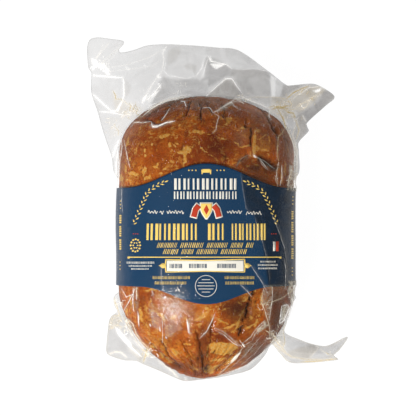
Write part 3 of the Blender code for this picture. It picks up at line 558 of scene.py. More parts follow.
# Print on the band, in photo spots. Words become rows of plain bars: left and right, top and bottom,
# and how many pairs of bars. Handwriting becomes a wavy line: left and right, and its height.
BIG_CREAM_ROWS = [((173.5, 238), (178.4, 189.6), 7), ((173.5, 238), (191.4, 199), 10)]
BIG_GOLD_ROWS = [((146, 199), (223.5, 240), 6), ((207, 226), (223.5, 240), 2), ((231, 267), (223.5, 240), 5)]
SLANTED_GOLD_ROWS = [
    ((158, 178), (242.6, 247.6), 6), ((181, 204), (242.6, 247.6), 6), ((207, 228), (242.6, 247.6), 6),
    ((231, 243), (242.6, 247.6), 4), ((246, 254), (242.6, 247.6), 2), ((164, 179), (249, 254), 4),
    ((182, 194), (249, 254), 4), ((197, 218), (249, 254), 6), ((221, 247), (249, 254), 7),
]
SCRIPTS = [
    ((148, 157.5), 212), ((160, 164), 212.4), ((167, 184), 212), ((227, 242), 212), ((246, 261.5), 213),
]
PLAQUE_ROWS = [((170, 183), (263.8, 268.2), 5), ((189, 207), (263.8, 268), 7), ((217, 236), (263.8, 268), 8)]
SMALL_CREAM_ROWS = [
    ((128, 155.5), (261.4, 263.6), 12), ((130, 153), (265, 266.6), 11), ((132.5, 150), (268, 269.6), 8),
    ((260, 276), (260.8, 262.4), 7), ((257.6, 278), (264, 265.8), 10), ((258, 277.5), (267.4, 269.2), 9),
]
SMALL_GOLD_ROWS = [
    ((153.5, 190.5), (276, 279), 15), ((155.5, 187), (281.4, 284.4), 13),
    ((224.5, 254.5), (276, 279), 12), ((225, 254), (281.4, 284.4), 12),
]
GOLD_SLANT, SLANTED_WEIGHT, SMALL_GOLD_WEIGHT = 0.35, 0.7, 0.62
BIG_CREAM_WEIGHT, SMALL_CREAM_WEIGHT = 0.92, 0.8
PEN_WIDTH, PEN_SWING = 0.62, 1.9

# Ornament on the band, in photo spots
TOP_DOTS = ((189, 192.5, 196, 217, 220.5, 224), 170.3, 0.75)
TOP_PLATE = (202.6, 169.0, 210.2, 172.6)
TOP_FEET = ((202.2, 210.6), 169.6, 174.2)
RULE = (130, 256.6, 280.8, 257.6)
RULE_ENDS = ((130, 280.6), 257.4, 1.2)
SPRIG_STEM = [(134, 224), (139.6, 209.5), (147.5, 192.5), (156, 185.5), (165, 182)]
SPRIG_MIRROR = 411.5  # the sum of a spot's place across and its mirror image's
PLAQUE = (167.4, 260.4, 243.6, 271.2)
PLAQUE_RULES = (
    [(166.6, 259.6), (205.5, 260.4), (244.4, 259.2)],
    [(166.6, 272.0), (205.5, 271.2), (244.4, 272.0)],
)
PLAQUE_ENDS = ((166.6, -1), (244.4, 1))
PLAQUE_END_TOP, PLAQUE_END_MIDDLE, PLAQUE_END_FOOT = 259.2, 265.6, 272.2
PLAQUE_TIP = 7
SIDE_STRIPS = ((121.5, 215, 253), (292.8, 211, 259))
STRIP_PITCH, STRIP_DASH = 2.2, 1.5
STRIP_DOTS_ABOVE, STRIP_DOTS_BELOW = (-14, -10.5, -7), (9, 12.5, 16)
ROSETTE = (136.3, 245.3)
ROSETTE_RINGS = ((12, 4.6, 6.2, 1.0), (6, 2.2, 2.8, 0.8))  # how many discs, their ring's size, their radius
CREST_MIDDLE = 206.4
CREAM_SHIELD, GOLD_SHIELD = (202.4, 219.6, 6.6), (203.4, 218.2, 5.6)  # top, bottom, half width
CREAM_LEAF = ((7, 204.5), (10.5, 209), (13, 218))
RED_LEAF = ((7.4, 205.4), (10.6, 209.4), (12.6, 217))
RED_LOZENGE = (205.0, 214.6)
ROUND_MARK = (206, 286, 10.6)
MARK_RULES = (279.3, 3.1, 0.6)  # the first one's height, their pitch and thickness
FLAG_CREAM = (273.0, 241.6, 275.4, 251.0)
FLAG_RED = (276.0, 241.4, 278.6, 251.2)
RED_DOTS = ((134.2, 136.2, 138.2, 271.4, 273.6, 275.8), 233.8, 0.55)
EDGE_TICKS = (116.9, 118.4, 204, 2.6, 1.6, 26)  # left, right, top, pitch, length, and how many

# The floor and the light
FLOOR_HALF = 4.0
FLOOR_DROP = 0.0002
FLOOR_GLOW = 0.97
KEY_LIGHT = ((-0.52, -0.60, 1.0), (0.50, 0.60), 18.5, (1.0, 0.985, 0.96))  # place, size, power, colour
FILL_LIGHT = ((0.9, 0.9, 1.1), (2.2, 1.4), 4.5, (0.97, 0.985, 1.0))
LIT_SPOT = Vector((0, 0, 0.04))
ROOM_COLOUR = (0.92, 0.94, 0.96, 1)
ROOM_STRENGTH = 0.27


def smooth(value):
    """Ease values from 0 to 1."""
    value = np.clip(value, 0, 1)
    return value * value * (3 - 2 * value)


def signed_power(value, power):
    """Raise values to a power and keep their signs."""
    return np.sign(value) * np.abs(value) ** power


def noise_at(points, size, seed=0.0):
    """Smooth noise from about -1 to 1 at points, with features of this size."""
    return np.array([noise.noise(Vector(p)) for p in points / size + seed])


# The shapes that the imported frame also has

def pressed(height, table):
    """Press what is below the table's height flat, with a short rounding where the flat begins."""
    over = height - table
    rounded = (over + FLAT_ROUNDING) ** 2 / (4 * FLAT_ROUNDING)
    return table + np.where(over >= FLAT_ROUNDING, over, np.where(over <= -FLAT_ROUNDING, 0, rounded))


def rounded_end(share, reach, power):
    """Distance from the tip and share of the full girth, as share runs from 0 at the tip to 1."""
    angle = np.clip(share, 0, 1) * math.pi / 2
    girth = np.abs(np.sin(angle)) ** (2 / power)
    return reach * (1 - np.abs(np.cos(angle)) ** (2 / power)), girth


def along_ham(share):
    """Y and the share of the full girth, as share runs from 0 at the tied end to 1 at the other."""
    low_y, low_girth = rounded_end(share / LOW_SHARE, LOW_END, LOW_END_POWER)
    high_y, high_girth = rounded_end((1 - share) / HIGH_SHARE, HIGH_END, HIGH_END_POWER)
    middle = (share - LOW_SHARE) / (1 - LOW_SHARE - HIGH_SHARE)
    y = LOW_END - HAM_LENGTH / 2 + middle * (HAM_LENGTH - LOW_END - HIGH_END)
    y = np.where(share < LOW_SHARE, low_y - HAM_LENGTH / 2, y)
    y = np.where(share > 1 - HIGH_SHARE, HAM_LENGTH / 2 - high_y, y)
    return y, np.minimum(low_girth, high_girth)


def skin_points(y, girth, turn, lift=0.0, table=0.0):
    """Points of the ham's smooth skin, turn being 0 at +X and a quarter turn on top."""
    across = signed_power(np.cos(turn), 2 / SECTION_POWER)
    upward = signed_power(np.sin(turn), 2 / SECTION_POWER)
    place = np.stack([across * HALF_WIDTH, y, upward * HALF_HEIGHT], axis=1)
    swell = 1 + LUMP * noise_at(place, LUMP_SIZE)
    shift = (1 - girth) ** 2
    x = (HALF_WIDTH * swell + lift) * girth * across + GATHER_SHIFT[0] * shift
    z = MID_HEIGHT + (HALF_HEIGHT * swell + lift) * girth * upward + GATHER_SHIFT[1] * shift
    return np.stack([x, y, pressed(z, table)], axis=1)


def skin_of_directions(directions, lift=0.0, table=0.0):
    """The skin's points for points of the unit sphere whose Z stands for the ham's length."""
    share = np.arccos(np.clip(-directions[:, 2], -1, 1)) / math.pi
    y, girth = along_ham(share)
    return skin_points(y, girth, np.arctan2(directions[:, 1], directions[:, 0]), lift, table)


def band_edge(profile, x, front):
    """Y of one edge of the band. Its front is taller in the middle, in the form of a bell."""
    side, rise, reach = profile
    return side + front * rise * 0.5 * (1 + np.cos(math.pi * np.minimum(1.0, np.abs(x) / reach)))


def band_edges(turn):
    """Y of the band's lower and upper edge at a turn round it."""
    x = HALF_WIDTH * signed_power(np.cos(turn), 2 / SECTION_POWER)
    front = smooth(np.sin(turn) * 4)
    return band_edge(BAND_BOTTOM, x, front), band_edge(BAND_TOP, x, front)


def beyond_outline(spots):
    """How far spots in plan lie outside the ham's outline, less than 0 inside it."""
    low, high = LOW_END - HAM_LENGTH / 2, HAM_LENGTH / 2 - HIGH_END
    x, y = spots[:, 0], spots[:, 1]
    over = np.where(y < low, y - low, np.where(y > high, y - high, 0))
    reach = np.where(y < low, LOW_END, HIGH_END)
    power = np.where(y < low, LOW_END_POWER, HIGH_END_POWER)
    size = (np.abs(x / HALF_WIDTH) ** power + np.abs(over / reach) ** power) ** (1 / power)
    beyond = np.hypot(x, over) * (1 - 1 / np.maximum(size, 0.01))
    return np.where(over == 0, np.abs(x) - HALF_WIDTH, beyond)


# The photo's view

def in_photo(points):
    """Where the photo shows these points, in its pixels."""
    scale = (CAMERA_HEIGHT - PIXEL_LEVEL) / (PIXEL * (CAMERA_HEIGHT - points[:, 2]))
    u = PHOTO_MIDDLE + (points[:, 0] - CAMERA_SPOT[0]) * scale
    v = PHOTO_MIDDLE - (points[:, 1] - CAMERA_SPOT[1]) * scale
    return np.stack([u, v], axis=1)


def photo_ray(u, v):
    """The direction in which the photo's camera sees a spot."""
    size = PIXEL / (CAMERA_HEIGHT - PIXEL_LEVEL)
    return Vector(((u - PHOTO_MIDDLE) * size, (PHOTO_MIDDLE - v) * size, -1)).normalized()


def distance_to_line(spots, line):
    """Distance from each spot to a line of points, and how far along it is, from 0 to 1."""
    line = np.array(line, float)
    best = np.full(len(spots), FAR)
    where = np.zeros(len(spots))
    for i in range(len(line) - 1):
        run = line[i + 1] - line[i]
        share = np.clip((spots - line[i]) @ run / (run @ run), 0, 1)
        distance = np.linalg.norm(spots - line[i] - share[:, None] * run, axis=1)
        nearer = distance < best
        best[nearer] = distance[nearer]
        where[nearer] = (i + share[nearer]) / (len(line) - 1)
    return best, where


def inside_ring(spots, ring):
    """Whether each spot in plan lies inside a closed line."""
    inside = np.zeros(len(spots), bool)
    x, y = spots[:, 0], spots[:, 1]
    for start, end in zip(ring, np.roll(ring, -1, axis=0)):
        if start[1] == end[1]:
            continue
        crossing = start[0] + (y - start[1]) / (end[1] - start[1]) * (end[0] - start[0])
        inside ^= ((start[1] > y) != (end[1] > y)) & (x < crossing)
    return inside


def area_field(spots, ring, softness=0.8):
    """How far spots lie in an outlined area, from 0 outside to 1 inside, with a soft border."""
    ring = np.array(ring, float)
    low, high = ring.min(axis=0) - softness, ring.max(axis=0) + softness
    near = np.all((spots > low) & (spots < high), axis=1)
    field = np.zeros(len(spots))
    if near.any():
        distance = nearest_on_ring(spots[near], ring)[1]
        distance = np.where(inside_ring(spots[near], ring), distance, -distance)
        field[near] = smooth(0.5 + distance / (2 * softness))
    return field


def strongest_area(spots, areas, softness=0.8):
    """The strongest of several outlined areas at each spot."""
    field = np.zeros(len(spots))
    for strength, ring in areas:
        field = np.maximum(field, strength * area_field(spots, ring, softness))
    return field


def soft_patches(spots, patches):
    """The strongest of several soft round patches at each spot."""
    field = np.zeros(len(spots))
    for u, v, reach_u, reach_v, strength in patches:
        distance = ((spots[:, 0] - u) / reach_u) ** 2 + ((spots[:, 1] - v) / reach_v) ** 2
        field = np.maximum(field, strength * np.exp(-(distance**1.5)))
    return field


def frayed(spots, points):
    """Photo spots moved about a little, so that what is placed by them gets an uneven outline."""
    moved_u = noise_at(points, FRAY_SIZE, 11.0)
    moved_v = noise_at(points, FRAY_SIZE, 23.0)
    return spots + FRAY * np.stack([moved_u, moved_v], axis=1)


def upper_share(points):
    """How far points belong to the upper side that the photo shows, from 0 to 1."""
    return smooth((points[:, 2] - MID_HEIGHT) / SIDE_BLEND + 0.5)


# Meshes

def coordinates(mesh):
    """A mesh's vertex places as an array."""
    places = np.empty(len(mesh.vertices) * 3)
    mesh.vertices.foreach_get("co", places)
    return places.reshape(-1, 3)


def normals(mesh):
    """A mesh's directions outwards at its vertices, as an array."""
    directions = np.empty(len(mesh.vertices) * 3)
    mesh.vertices.foreach_get("normal", directions)
    return directions.reshape(-1, 3)


def put_back(mesh, places):
    """Move a mesh's vertices to these places."""
    mesh.vertices.foreach_set("co", places.ravel())
    mesh.update()


def paint(mesh, name, values):
    """Give a mesh a named value at each vertex, for its material to read."""
    layer = mesh.attributes.new(name, "FLOAT", "POINT")
    layer.data.foreach_set("value", np.asarray(values, np.float32))


def in_scene(name, data):
    """A new object in the scene."""
    made = bpy.data.objects.new(name, data)
    bpy.context.scene.collection.objects.link(made)
    return made


def finished(name, mesh, material, slot, *replaced):
    """Put a piece in the scene on the pack's one body, smooth, with its material."""
    mesh.name = name
    mesh.shade_smooth()
    mesh.materials.append(material)
    piece = in_scene(name, mesh)
    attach(piece, "root")
    if replaced:
        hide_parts(*replaced)
    return piece


def to_mesh(bm):
    """Turn a bmesh into a mesh."""
    mesh = bpy.data.meshes.new("new")
    bm.to_mesh(mesh)
    bm.free()
    return mesh


def vertex_places(bm):
    """A bmesh's vertex places as an array."""
    return np.array([v.co[:] for v in bm.verts])


def doubled(bm):
    """Give a flat sheet a second side and walls round it. Says which vertices are the upper side's."""
    sheet = bmesh.ops.extrude_face_region(bm, geom=bm.faces)
    upper = {item for item in sheet["geom"] if isinstance(item, bmesh.types.BMVert)}
    return np.array([v in upper for v in bm.verts])


def refine(bm, points_of, lines, reach):
    """Halve the edges near some lines of the photo on the upper side."""
    bm.verts.index_update()
    points = points_of(vertex_places(bm))
    spots = in_photo(points)
    near = np.zeros(len(points), bool)
    for line in lines:
        near |= distance_to_line(spots, line)[0] < reach
    near &= points[:, 2] > MID_HEIGHT - 0.01
    edges = [e for e in bm.edges if near[e.verts[0].index] and near[e.verts[1].index]]
    bmesh.ops.subdivide_edges(bm, edges=edges, cuts=1, use_grid_fill=True)
    for vert in bm.verts:
        vert.co.normalize()


def round_body(turns, rings, passes):
    """A fine sphere, inside out as its mapping on the ham will mirror it, finer near the given lines."""
    bm = bmesh.new()
    bmesh.ops.create_uvsphere(bm, u_segments=turns, v_segments=rings, radius=1.0)
    bmesh.ops.reverse_faces(bm, faces=bm.faces)
    for lines, reach in passes:
        refine(bm, skin_of_directions, lines, reach)
    bmesh.ops.triangulate(bm, faces=[f for f in bm.faces if len(f.verts) > 4])
    return to_mesh(bm)


# Materials

class Shader:
    """A material's node tree, with short ways to add to it."""

    def __init__(self, name):
        self.material = bpy.data.materials.new(name)
        self.material.use_nodes = True
        self.tree = self.material.node_tree
        self.tree.nodes.clear()

    def add(self, kind, values=None, **settings):
        """A node with its settings, and its inputs set to plain values or linked to sockets."""
        node = self.tree.nodes.new("ShaderNode" + kind)
        for name, value in settings.items():
            setattr(node, name, value)
        for name, value in (values or {}).items():
            if isinstance(value, bpy.types.NodeSocket):
                self.tree.links.new(value, node.inputs[name])
            else:
                node.inputs[name].default_value = value
        return node

    def place(self):
        """Where a point lies in the object."""
        return self.add("TexCoord").outputs["Object"]

    def value(self, name):
        """The named value that the mesh carries."""
        return self.add("Attribute", attribute_name=name).outputs["Fac"]

    def noise(self, scale, detail=3.0, roughness=0.5, distortion=0.0, place=None):
        """Noise from about 0 to 1 with so many features to a metre."""
        values = {"Scale": scale, "Detail": detail, "Roughness": roughness, "Distortion": distortion}
        values["Vector"] = place or self.place()
        return self.add("TexNoise", values).outputs["Fac"]

    def math(self, operation, a, b=0.0, clamp=False):
        """The result of a sum on one or two values."""
        return self.add("Math", {0: a, 1: b}, operation=operation, use_clamp=clamp).outputs[0]

    def between(self, value, low, high, at_low=0.0, at_high=1.0):
        """Map a value from one range to another, clamped."""
        values = {"Value": value, "From Min": low, "From Max": high, "To Min": at_low, "To Max": at_high}
        return self.add("MapRange", values).outputs["Result"]

    def mix(self, share, a, b, how="MIX"):
        """Mix two colours."""
        node = self.tree.nodes.new("ShaderNodeMix")
        node.data_type = "RGBA"
        node.blend_type = how
        for index, value in ((0, share), (6, a), (7, b)):
            if isinstance(value, bpy.types.NodeSocket):
                self.tree.links.new(value, node.inputs[index])
            else:
                node.inputs[index].default_value = value if index == 0 else (*value, 1)
        return node.outputs[2]

    def bump(self, height, strength, distance):
        """Fine relief."""
        values = {"Height": height, "Strength": strength, "Distance": distance}
        return self.add("Bump", values).outputs["Normal"]

    def see_through(self, share, body):
        """A shader that is clear but for this share of a body."""
        clear = self.add("BsdfTransparent", {"Color": WHITE})
        return self.add("MixShader", {0: share, 1: clear.outputs[0], 2: body.outputs["BSDF"]}).outputs[0]

    def end(self, shader):
        """Make this shader the surface's."""
        output = self.add("OutputMaterial")
        self.tree.links.new(shader, output.inputs["Surface"])
        return self.material


def ham_material(look):
    """Smoked ham: warm orange-brown with darker stretches that are partly painted shade, ragged cream fat,
    and grooves darkened with painted shade.
    """
    s = Shader("ham")
    warp = s.add("TexNoise", {"Scale": 120.0, "Detail": 3.0, "Vector": s.place()}).outputs["Color"]
    shifted = s.add("VectorMath", {0: warp, 1: (0.5, 0.5, 0.5)}, operation="SUBTRACT").outputs[0]
    scaled = s.add("VectorMath", {0: shifted, "Scale": 0.012}, operation="SCALE").outputs[0]
    place = s.add("VectorMath", {0: s.place(), 1: scaled}, operation="ADD").outputs[0]
    broad = s.between(s.noise(48.0, 5.0, 0.6, place=place), 0.38, 0.62)
    colour = s.mix(broad, look.ham_dark, look.ham_bright)
    mottle = s.between(s.noise(260.0, 6.0, 0.7, place=place), 0.45, 0.60)
    golden = s.math("ADD", s.math("MULTIPLY", mottle, 0.38), s.math("MULTIPLY", s.value("golden"), 0.6))
    golden = s.math("MULTIPLY", golden, s.between(s.noise(130.0, 6.0, 0.7), 0.40, 0.60, 0.0, 1.0))
    colour = s.mix(golden, colour, look.ham_tan)
    red = s.math("MULTIPLY", s.value("red"), s.between(s.noise(80.0, 4.0), 0.35, 0.60, 0.35, 0.9))
    colour = s.mix(red, colour, look.ham_red)
    # Smoky tones, partly painted shade where the ham turns from the light
    smoky_and_shade = s.math("MULTIPLY", s.value("smoky_and_shade"), s.between(s.noise(170.0, 6.0, 0.7), 0.38, 0.60, 0.35, 1.0))
    colour = s.mix(smoky_and_shade, colour, look.ham_smoky_and_shade)
    streaks = s.between(s.noise(330.0, 6.0, 0.75, 1.2, place), 0.49, 0.58, 0.0, 0.6)
    colour = s.mix(streaks, colour, look.ham_streak)
    # Cream fat: the named patches with ragged edges, loose flecks, and fine veins between them
    edging = s.math("SUBTRACT", s.noise(620.0, 6.0, 0.75, 0.4), 0.5)
    patch = s.math("ADD", s.value("fat"), s.math("MULTIPLY", edging, 2.8))
    patch = s.between(patch, 0.46, 0.60)
    flecks = s.between(s.noise(420.0, 6.0, 0.72, 0.6, place), 0.530, 0.570)
    drifts = s.between(s.noise(75.0, 3.0), 0.44, 0.56)
    flecks = s.math("MULTIPLY", flecks, s.math("MULTIPLY", drifts, s.value("flecked")))
    ridge = s.math("ABSOLUTE", s.math("SUBTRACT", s.noise(110.0, 4.0, 0.55, 1.4, place), 0.5))
    veins = s.math("MULTIPLY", s.between(ridge, 0.0, 0.016, 1.0, 0.0), s.value("flecked"))
    veins = s.math("MULTIPLY", veins, s.between(s.noise(90.0, 3.0), 0.50, 0.62))
    loose = s.math("MAXIMUM", s.math("MULTIPLY", flecks, 0.8), s.math("MULTIPLY", veins, 0.7))
    fat = s.math("MAXIMUM", patch, loose, clamp=True)
    fat_colour = s.mix(s.between(s.noise(700.0, 4.0, 0.6), 0.40, 0.62), look.fat_gold, look.fat_cream)
    # Fat is dimmer under the smoky tones, which are partly painted shade
    dulled = s.math("SUBTRACT", 0.92, s.math("MULTIPLY", s.value("smoky_and_shade"), 0.45))
    colour = s.mix(s.math("MULTIPLY", fat, dulled), colour, fat_colour)
    # Painted shade: grooves, holes, wrinkles and the shaded patches darken the colour
    colour = s.mix(s.math("MULTIPLY", s.value("painted_shade"), 0.95, clamp=True), colour, look.groove_shade)
    fibres = s.noise(900.0, 4.0, 0.6, 1.0, place)
    height = s.math("ADD", s.math("MULTIPLY", fibres, 0.35), s.math("MULTIPLY", mottle, 0.65))
    shader = s.add(
        "BsdfPrincipled",
        {
            "Base Color": colour,
            "Roughness": s.between(broad, 0.0, 1.0, 0.55, 0.42),
            "Specular IOR Level": 0.06,
            "Subsurface Weight": 0.08,
            "Subsurface Radius": (0.003, 0.001, 0.0004),
            "Normal": s.bump(height, 0.6, 0.0008),
        },
    )
    return s.end(shader.outputs["BSDF"])


def film_material(look, name, haze_colour, gloss, roughness, rippling, broken):
    """Clear film: seen through but for its gloss, a faint haziness that also carries painted shade and sheen,
    its pale and amber creases, and painted glints; creases and glints glow a little as painted light.

    Rippling is how strong its fine ripples are, and broken is how far its haze is broken into flakes.
    """
    s = Shader(name)
    ripple = s.bump(s.noise(190.0, 6.0, 0.62, 1.5), rippling, 0.0007)
    edge = s.add("Fresnel", {"IOR": 1.5, "Normal": ripple}).outputs[0]
    edge = s.math("MINIMUM", edge, 0.16)
    crease_and_glint = s.value("milky_and_glint")
    cloud = s.between(s.noise(60.0, 5.0, 0.65, 1.0), 0.36, 0.64, 0.85, 1.15)
    flakes = s.between(s.noise(150.0, 6.0, 0.75, 1.8), 0.45, 0.55, 1 - broken, 1 + broken)
    alpha = s.math("MULTIPLY", s.value("haze_and_shading"), s.math("MULTIPLY", cloud, flakes))
    alpha = s.math("MAXIMUM", alpha, s.math("MULTIPLY", crease_and_glint, 0.9), clamp=True)
    colour = s.mix(s.between(crease_and_glint, 0.0, 0.4), haze_colour, look.film_milky_and_glint)
    colour = s.mix(s.value("amber"), colour, look.film_amber)
    # Creases and glints glow a little: painted light, so they show paler than the white floor seen through
    # the film
    painted_glow = s.mix(crease_and_glint, (0, 0, 0), look.film_milky_and_glint)
    values = {"Base Color": colour, "Roughness": 0.45, "Specular IOR Level": 0.2, "Normal": ripple}
    hazy = s.add("BsdfPrincipled", {**values, "Emission Color": painted_glow, "Emission Strength": 0.28})
    glossy = s.add("BsdfGlossy", {"Color": WHITE, "Roughness": roughness, "Normal": ripple})
    shine = s.math("MULTIPLY", edge, gloss, clamp=True)
    blend = s.add("MixShader", {0: shine, 1: s.see_through(alpha, hazy), 2: glossy.outputs[0]})
    return s.end(blend.outputs[0])


def paper_material(name, colour, worn, roughness, dulled=None):
    """Coated paper or ink: even, with a faint cloudiness, a few worn specks, and painted shade where a mask
    asks for it.
    """
    s = Shader(name)
    # Painted shade where the mask asks for it
    if dulled:
        streaks = s.between(s.noise(70.0, 5.0, 0.6, 1.5), 0.38, 0.62, 0.7, 1.0)
        colour = s.mix(s.math("MULTIPLY", s.value("dulled"), streaks), colour, dulled)
    cloud = s.between(s.noise(45.0, 3.0), 0.3, 0.7, 0.0, 0.35)
    specks = s.between(s.noise(900.0, 2.0, 0.6), 0.70, 0.78, 0.0, 0.35)
    shade = s.mix(cloud, colour, (0.72, 0.72, 0.74), "MULTIPLY")
    shade = s.mix(specks, shade, worn)
    values = {"Base Color": shade, "Roughness": roughness, "Specular IOR Level": 0.06}
    values["Normal"] = s.bump(s.noise(1200.0, 2.0), 0.12, 0.0002)
    return s.end(s.add("BsdfPrincipled", values).outputs["BSDF"])


# Settings that a user would change

class HamLook(bpy.types.PropertyGroup):
    """Colours and sizes of the finishes."""

    def colour(name, default):
        return bpy.props.FloatVectorProperty(name=name, subtype="COLOR", size=3, default=default)

    ham_bright: colour("Ham, bright", (0.47, 0.098, 0.005))
    ham_dark: colour("Ham, dark", (0.25, 0.040, 0.003))
    ham_tan: colour("Ham, tan", (0.60, 0.23, 0.024))
    ham_red: colour("Ham, red", (0.13, 0.016, 0.002))
    # Smoky tone, partly painted shade
    ham_smoky_and_shade: colour("Ham, smoky", (0.17, 0.052, 0.014))
    ham_streak: colour("Ham, fine dark streaks", (0.14, 0.024, 0.003))
    # Colour of the painted shade in grooves, holes, wrinkles and shaded patches
    groove_shade: colour("Ham, grooves", (0.040, 0.012, 0.005))
    fat_gold: colour("Fat, golden", (0.58, 0.24, 0.024))
    fat_cream: colour("Fat, cream", (0.56, 0.35, 0.10))
    film_haze: colour("Film, haze over the ham", (0.52, 0.45, 0.33))
    film_grey: colour("Film, haze of the loose film", (0.20, 0.183, 0.170))
    # Colour of the film's whitened creases and painted glints, which also gives their painted glow
    film_milky_and_glint: colour("Film, creases", (1.0, 0.985, 0.96))
    film_amber: colour("Film, amber folds", (0.42, 0.29, 0.055))
    navy: colour("Band", (0.010, 0.043, 0.100))
    # Painted shade on the band's right-hand part
    navy_dulled: colour("Band, dulled by folded film", (0.008, 0.014, 0.023))
    gold: colour("Gold print", (0.93, 0.66, 0.17))
    cream: colour("Cream print", (0.88, 0.85, 0.75))
    red: colour("Red print", (0.52, 0.05, 0.02))
    crease_height: bpy.props.FloatProperty(
        name="Crease height",
        description="How far a crease stands out of the film",
        default=0.0007,
        unit="LENGTH",
    )
    ham_depth: bpy.props.FloatProperty(
        name="Ham depth",
        description="How far the ham lies under its tight film",
        default=0.0006,
        unit="LENGTH",
    )


def groove_field(spots):
    """Depth in metres of the ham's grooves at photo spots: their cores, which get painted shade, and the
    hollows round them.
    """
    cores = np.zeros(len(spots))
    hollows = np.zeros(len(spots))
    for depth, width, line in GROOVES:
        distance, where = distance_to_line(spots, line)
        taper = 0.1 + 0.9 * smooth((1 - where) * 4) * smooth(where * 5)
        core = CORE_SHARE * depth * MM * taper * np.exp(-((distance / width) ** 2))
        hollow = HOLLOW_SHARE * depth * MM * taper * np.exp(-((distance / (HOLLOW_SPREAD * width)) ** 2))
        cores = np.maximum(cores, core)
        hollows = np.maximum(hollows, hollow)
    for u, v, radius in HOLES:
        distance = np.hypot(spots[:, 0] - u, (spots[:, 1] - v) * 0.7)
        cores = np.maximum(cores, HOLE_DEPTH * np.exp(-((distance / radius) ** 2)))
    return cores, hollows


def patch_axis(u, v, length, slant):
    """The line along the middle of a patch of fat."""
    run = Vector((math.cos(math.radians(slant)), math.sin(math.radians(slant)))) * length / 2
    return [(u - run.x, v - run.y), (u + run.x, v + run.y)]


def fat_field(spots):
    """How much each photo spot lies in a named patch of fat, less than 0 well outside them."""
    field = np.full(len(spots), -1.0)
    for u, v, length, width, slant, strength in FAT_PATCHES:
        angle = math.radians(slant)
        du, dv = spots[:, 0] - u, spots[:, 1] - v
        along = (du * math.cos(angle) + dv * math.sin(angle)) / (length * 0.58)
        across = (dv * math.cos(angle) - du * math.sin(angle)) / (width * 0.62)
        field = np.maximum(field, strength * (1.25 - 0.75 * (along**2 + across**2)))
    return field


class HAM_OT_ham(bpy.types.Operator):
    """Make the ham that shows through the film"""

    bl_idname = "ham.ham"
    bl_label = "Ham"

    def execute(self, context):
        look = context.scene.ham_look
        lines = [line for _, _, line in GROOVES]
        patches = [patch_axis(*patch[:3], patch[4]) for patch in FAT_PATCHES]
        passes = ((lines + patches, REFINED_WIDE), (lines, REFINED_CLOSE))
        mesh = round_body(HAM_TURNS, HAM_RINGS, passes)
        points = skin_of_directions(coordinates(mesh), -look.ham_depth, look.ham_depth)
        put_back(mesh, points)
        upper = upper_share(points)
        spots = frayed(in_photo(points), points)
        cores, hollows = groove_field(spots)
        gathers = gather_depth(points) * upper
        # Painted shade: grooves, holes and wrinkles darkened by their depth, and the shaded patches
        shaded = 0.8 * soft_patches(spots, SHADED_PATCHES)
        dark = cores / DARK_CORE + gathers / DARK_GATHER + shaded
        paint(mesh, "painted_shade", np.clip(dark * upper, 0, 1))
        depth = upper * (cores + hollows) + gathers
        for height, size, seed in RELIEF:
            depth += height * (0.5 + 0.5 * noise_at(points, size, seed))
        depth += back_pleats(points) * (1 - upper)
        paint(mesh, "fat", np.where(upper > 0, fat_field(spots), -1))
        # Smoky tones, partly painted shade where the ham turns from the light and under its pleats
        smoky_and_shade = soft_patches(spots, SMOKY_AND_SHADE_PATCHES)
        paint(mesh, "smoky_and_shade", smoky_and_shade * upper + (1 - upper) * 0.35)
        red = soft_patches(spots, RED_PATCHES)
        paint(mesh, "red", red * upper)
        paint(mesh, "golden", soft_patches(spots, GOLDEN_PATCHES) * upper + 0.3 * (1 - upper))
        paint(mesh, "flecked", np.clip(1.15 - smoky_and_shade - 0.6 * red, 0.12, 1))
        carving = np.where(points[:, 2] > CARVED_ABOVE, depth, 0)
        put_back(mesh, points - normals(mesh) * carving[:, None])
        finished("ham", mesh, ham_material(look), "ham", "bag")
        return {"FINISHED"}


def back_pleats(points):
    """Depth of the pleats that fan out of each tied end over the underside."""
    depth = np.zeros(len(points))
    for end in (-1, 1):
        tip = np.array([GATHER_SHIFT[0], end * HAM_LENGTH / 2])
        away = points[:, :2] - tip
        angle = np.arctan2(away[:, 0], -end * away[:, 1])
        reach = np.linalg.norm(away, axis=1)
        fold = np.abs(np.sin(angle * PLEATS + noise_at(points, 0.03) * 1.2))
        depth = np.maximum(depth, PLEAT_DEPTH * (1 - fold) ** 2 * np.exp(-((reach / PLEAT_REACH) ** 2)))
    return depth


def gather_depth(points):
    """Depth of the fine wrinkles that run out of each tied end over the upper side."""
    depth = np.zeros(len(points))
    for end in (-1, 1):
        away = points[:, :2] - (GATHER_SHIFT[0], end * HAM_LENGTH / 2)
        angle = np.arctan2(away[:, 0], -end * away[:, 1])
        reach = np.linalg.norm(away, axis=1)
        layer = np.full(len(points), GATHER_SEED * end)
        strip = np.stack([angle * GATHER_RADIUS, reach * GATHER_STRETCH, layer], axis=1)
        fade = np.exp(-((reach / GATHER_REACH) ** 2)) * smooth(reach / GATHER_START)
        depth = np.maximum(depth, GATHER_DEPTH * ridges(strip, GATHER_SPACING, 3.0, 3) * fade)
    return depth


def crease_field(spots, spread):
    """Height, whiteness and amber of the film's creases at photo spots; the whiteness is partly whitened film
    and partly a painted highlight.
    """
    height = np.zeros(len(spots))
    milky_and_glint = np.zeros(len(spots))
    amber = np.zeros(len(spots))
    for width, milk_and_glint, gold, line in FILM_CREASES:
        distance, where = distance_to_line(spots, line)
        taper = smooth((1 - where) * 5 + 0.2) * smooth(where * 5 + 0.2)
        height = np.maximum(height, width * taper * np.exp(-distance / spread))
        milky_and_glint = np.maximum(milky_and_glint, taper * milk_and_glint * 0.35 * np.exp(-((distance / (width * 2.2)) ** 2)))
        amber = np.maximum(amber, taper * gold * np.exp(-((distance / (width * 1.5)) ** 2)))
    return height, milky_and_glint, amber


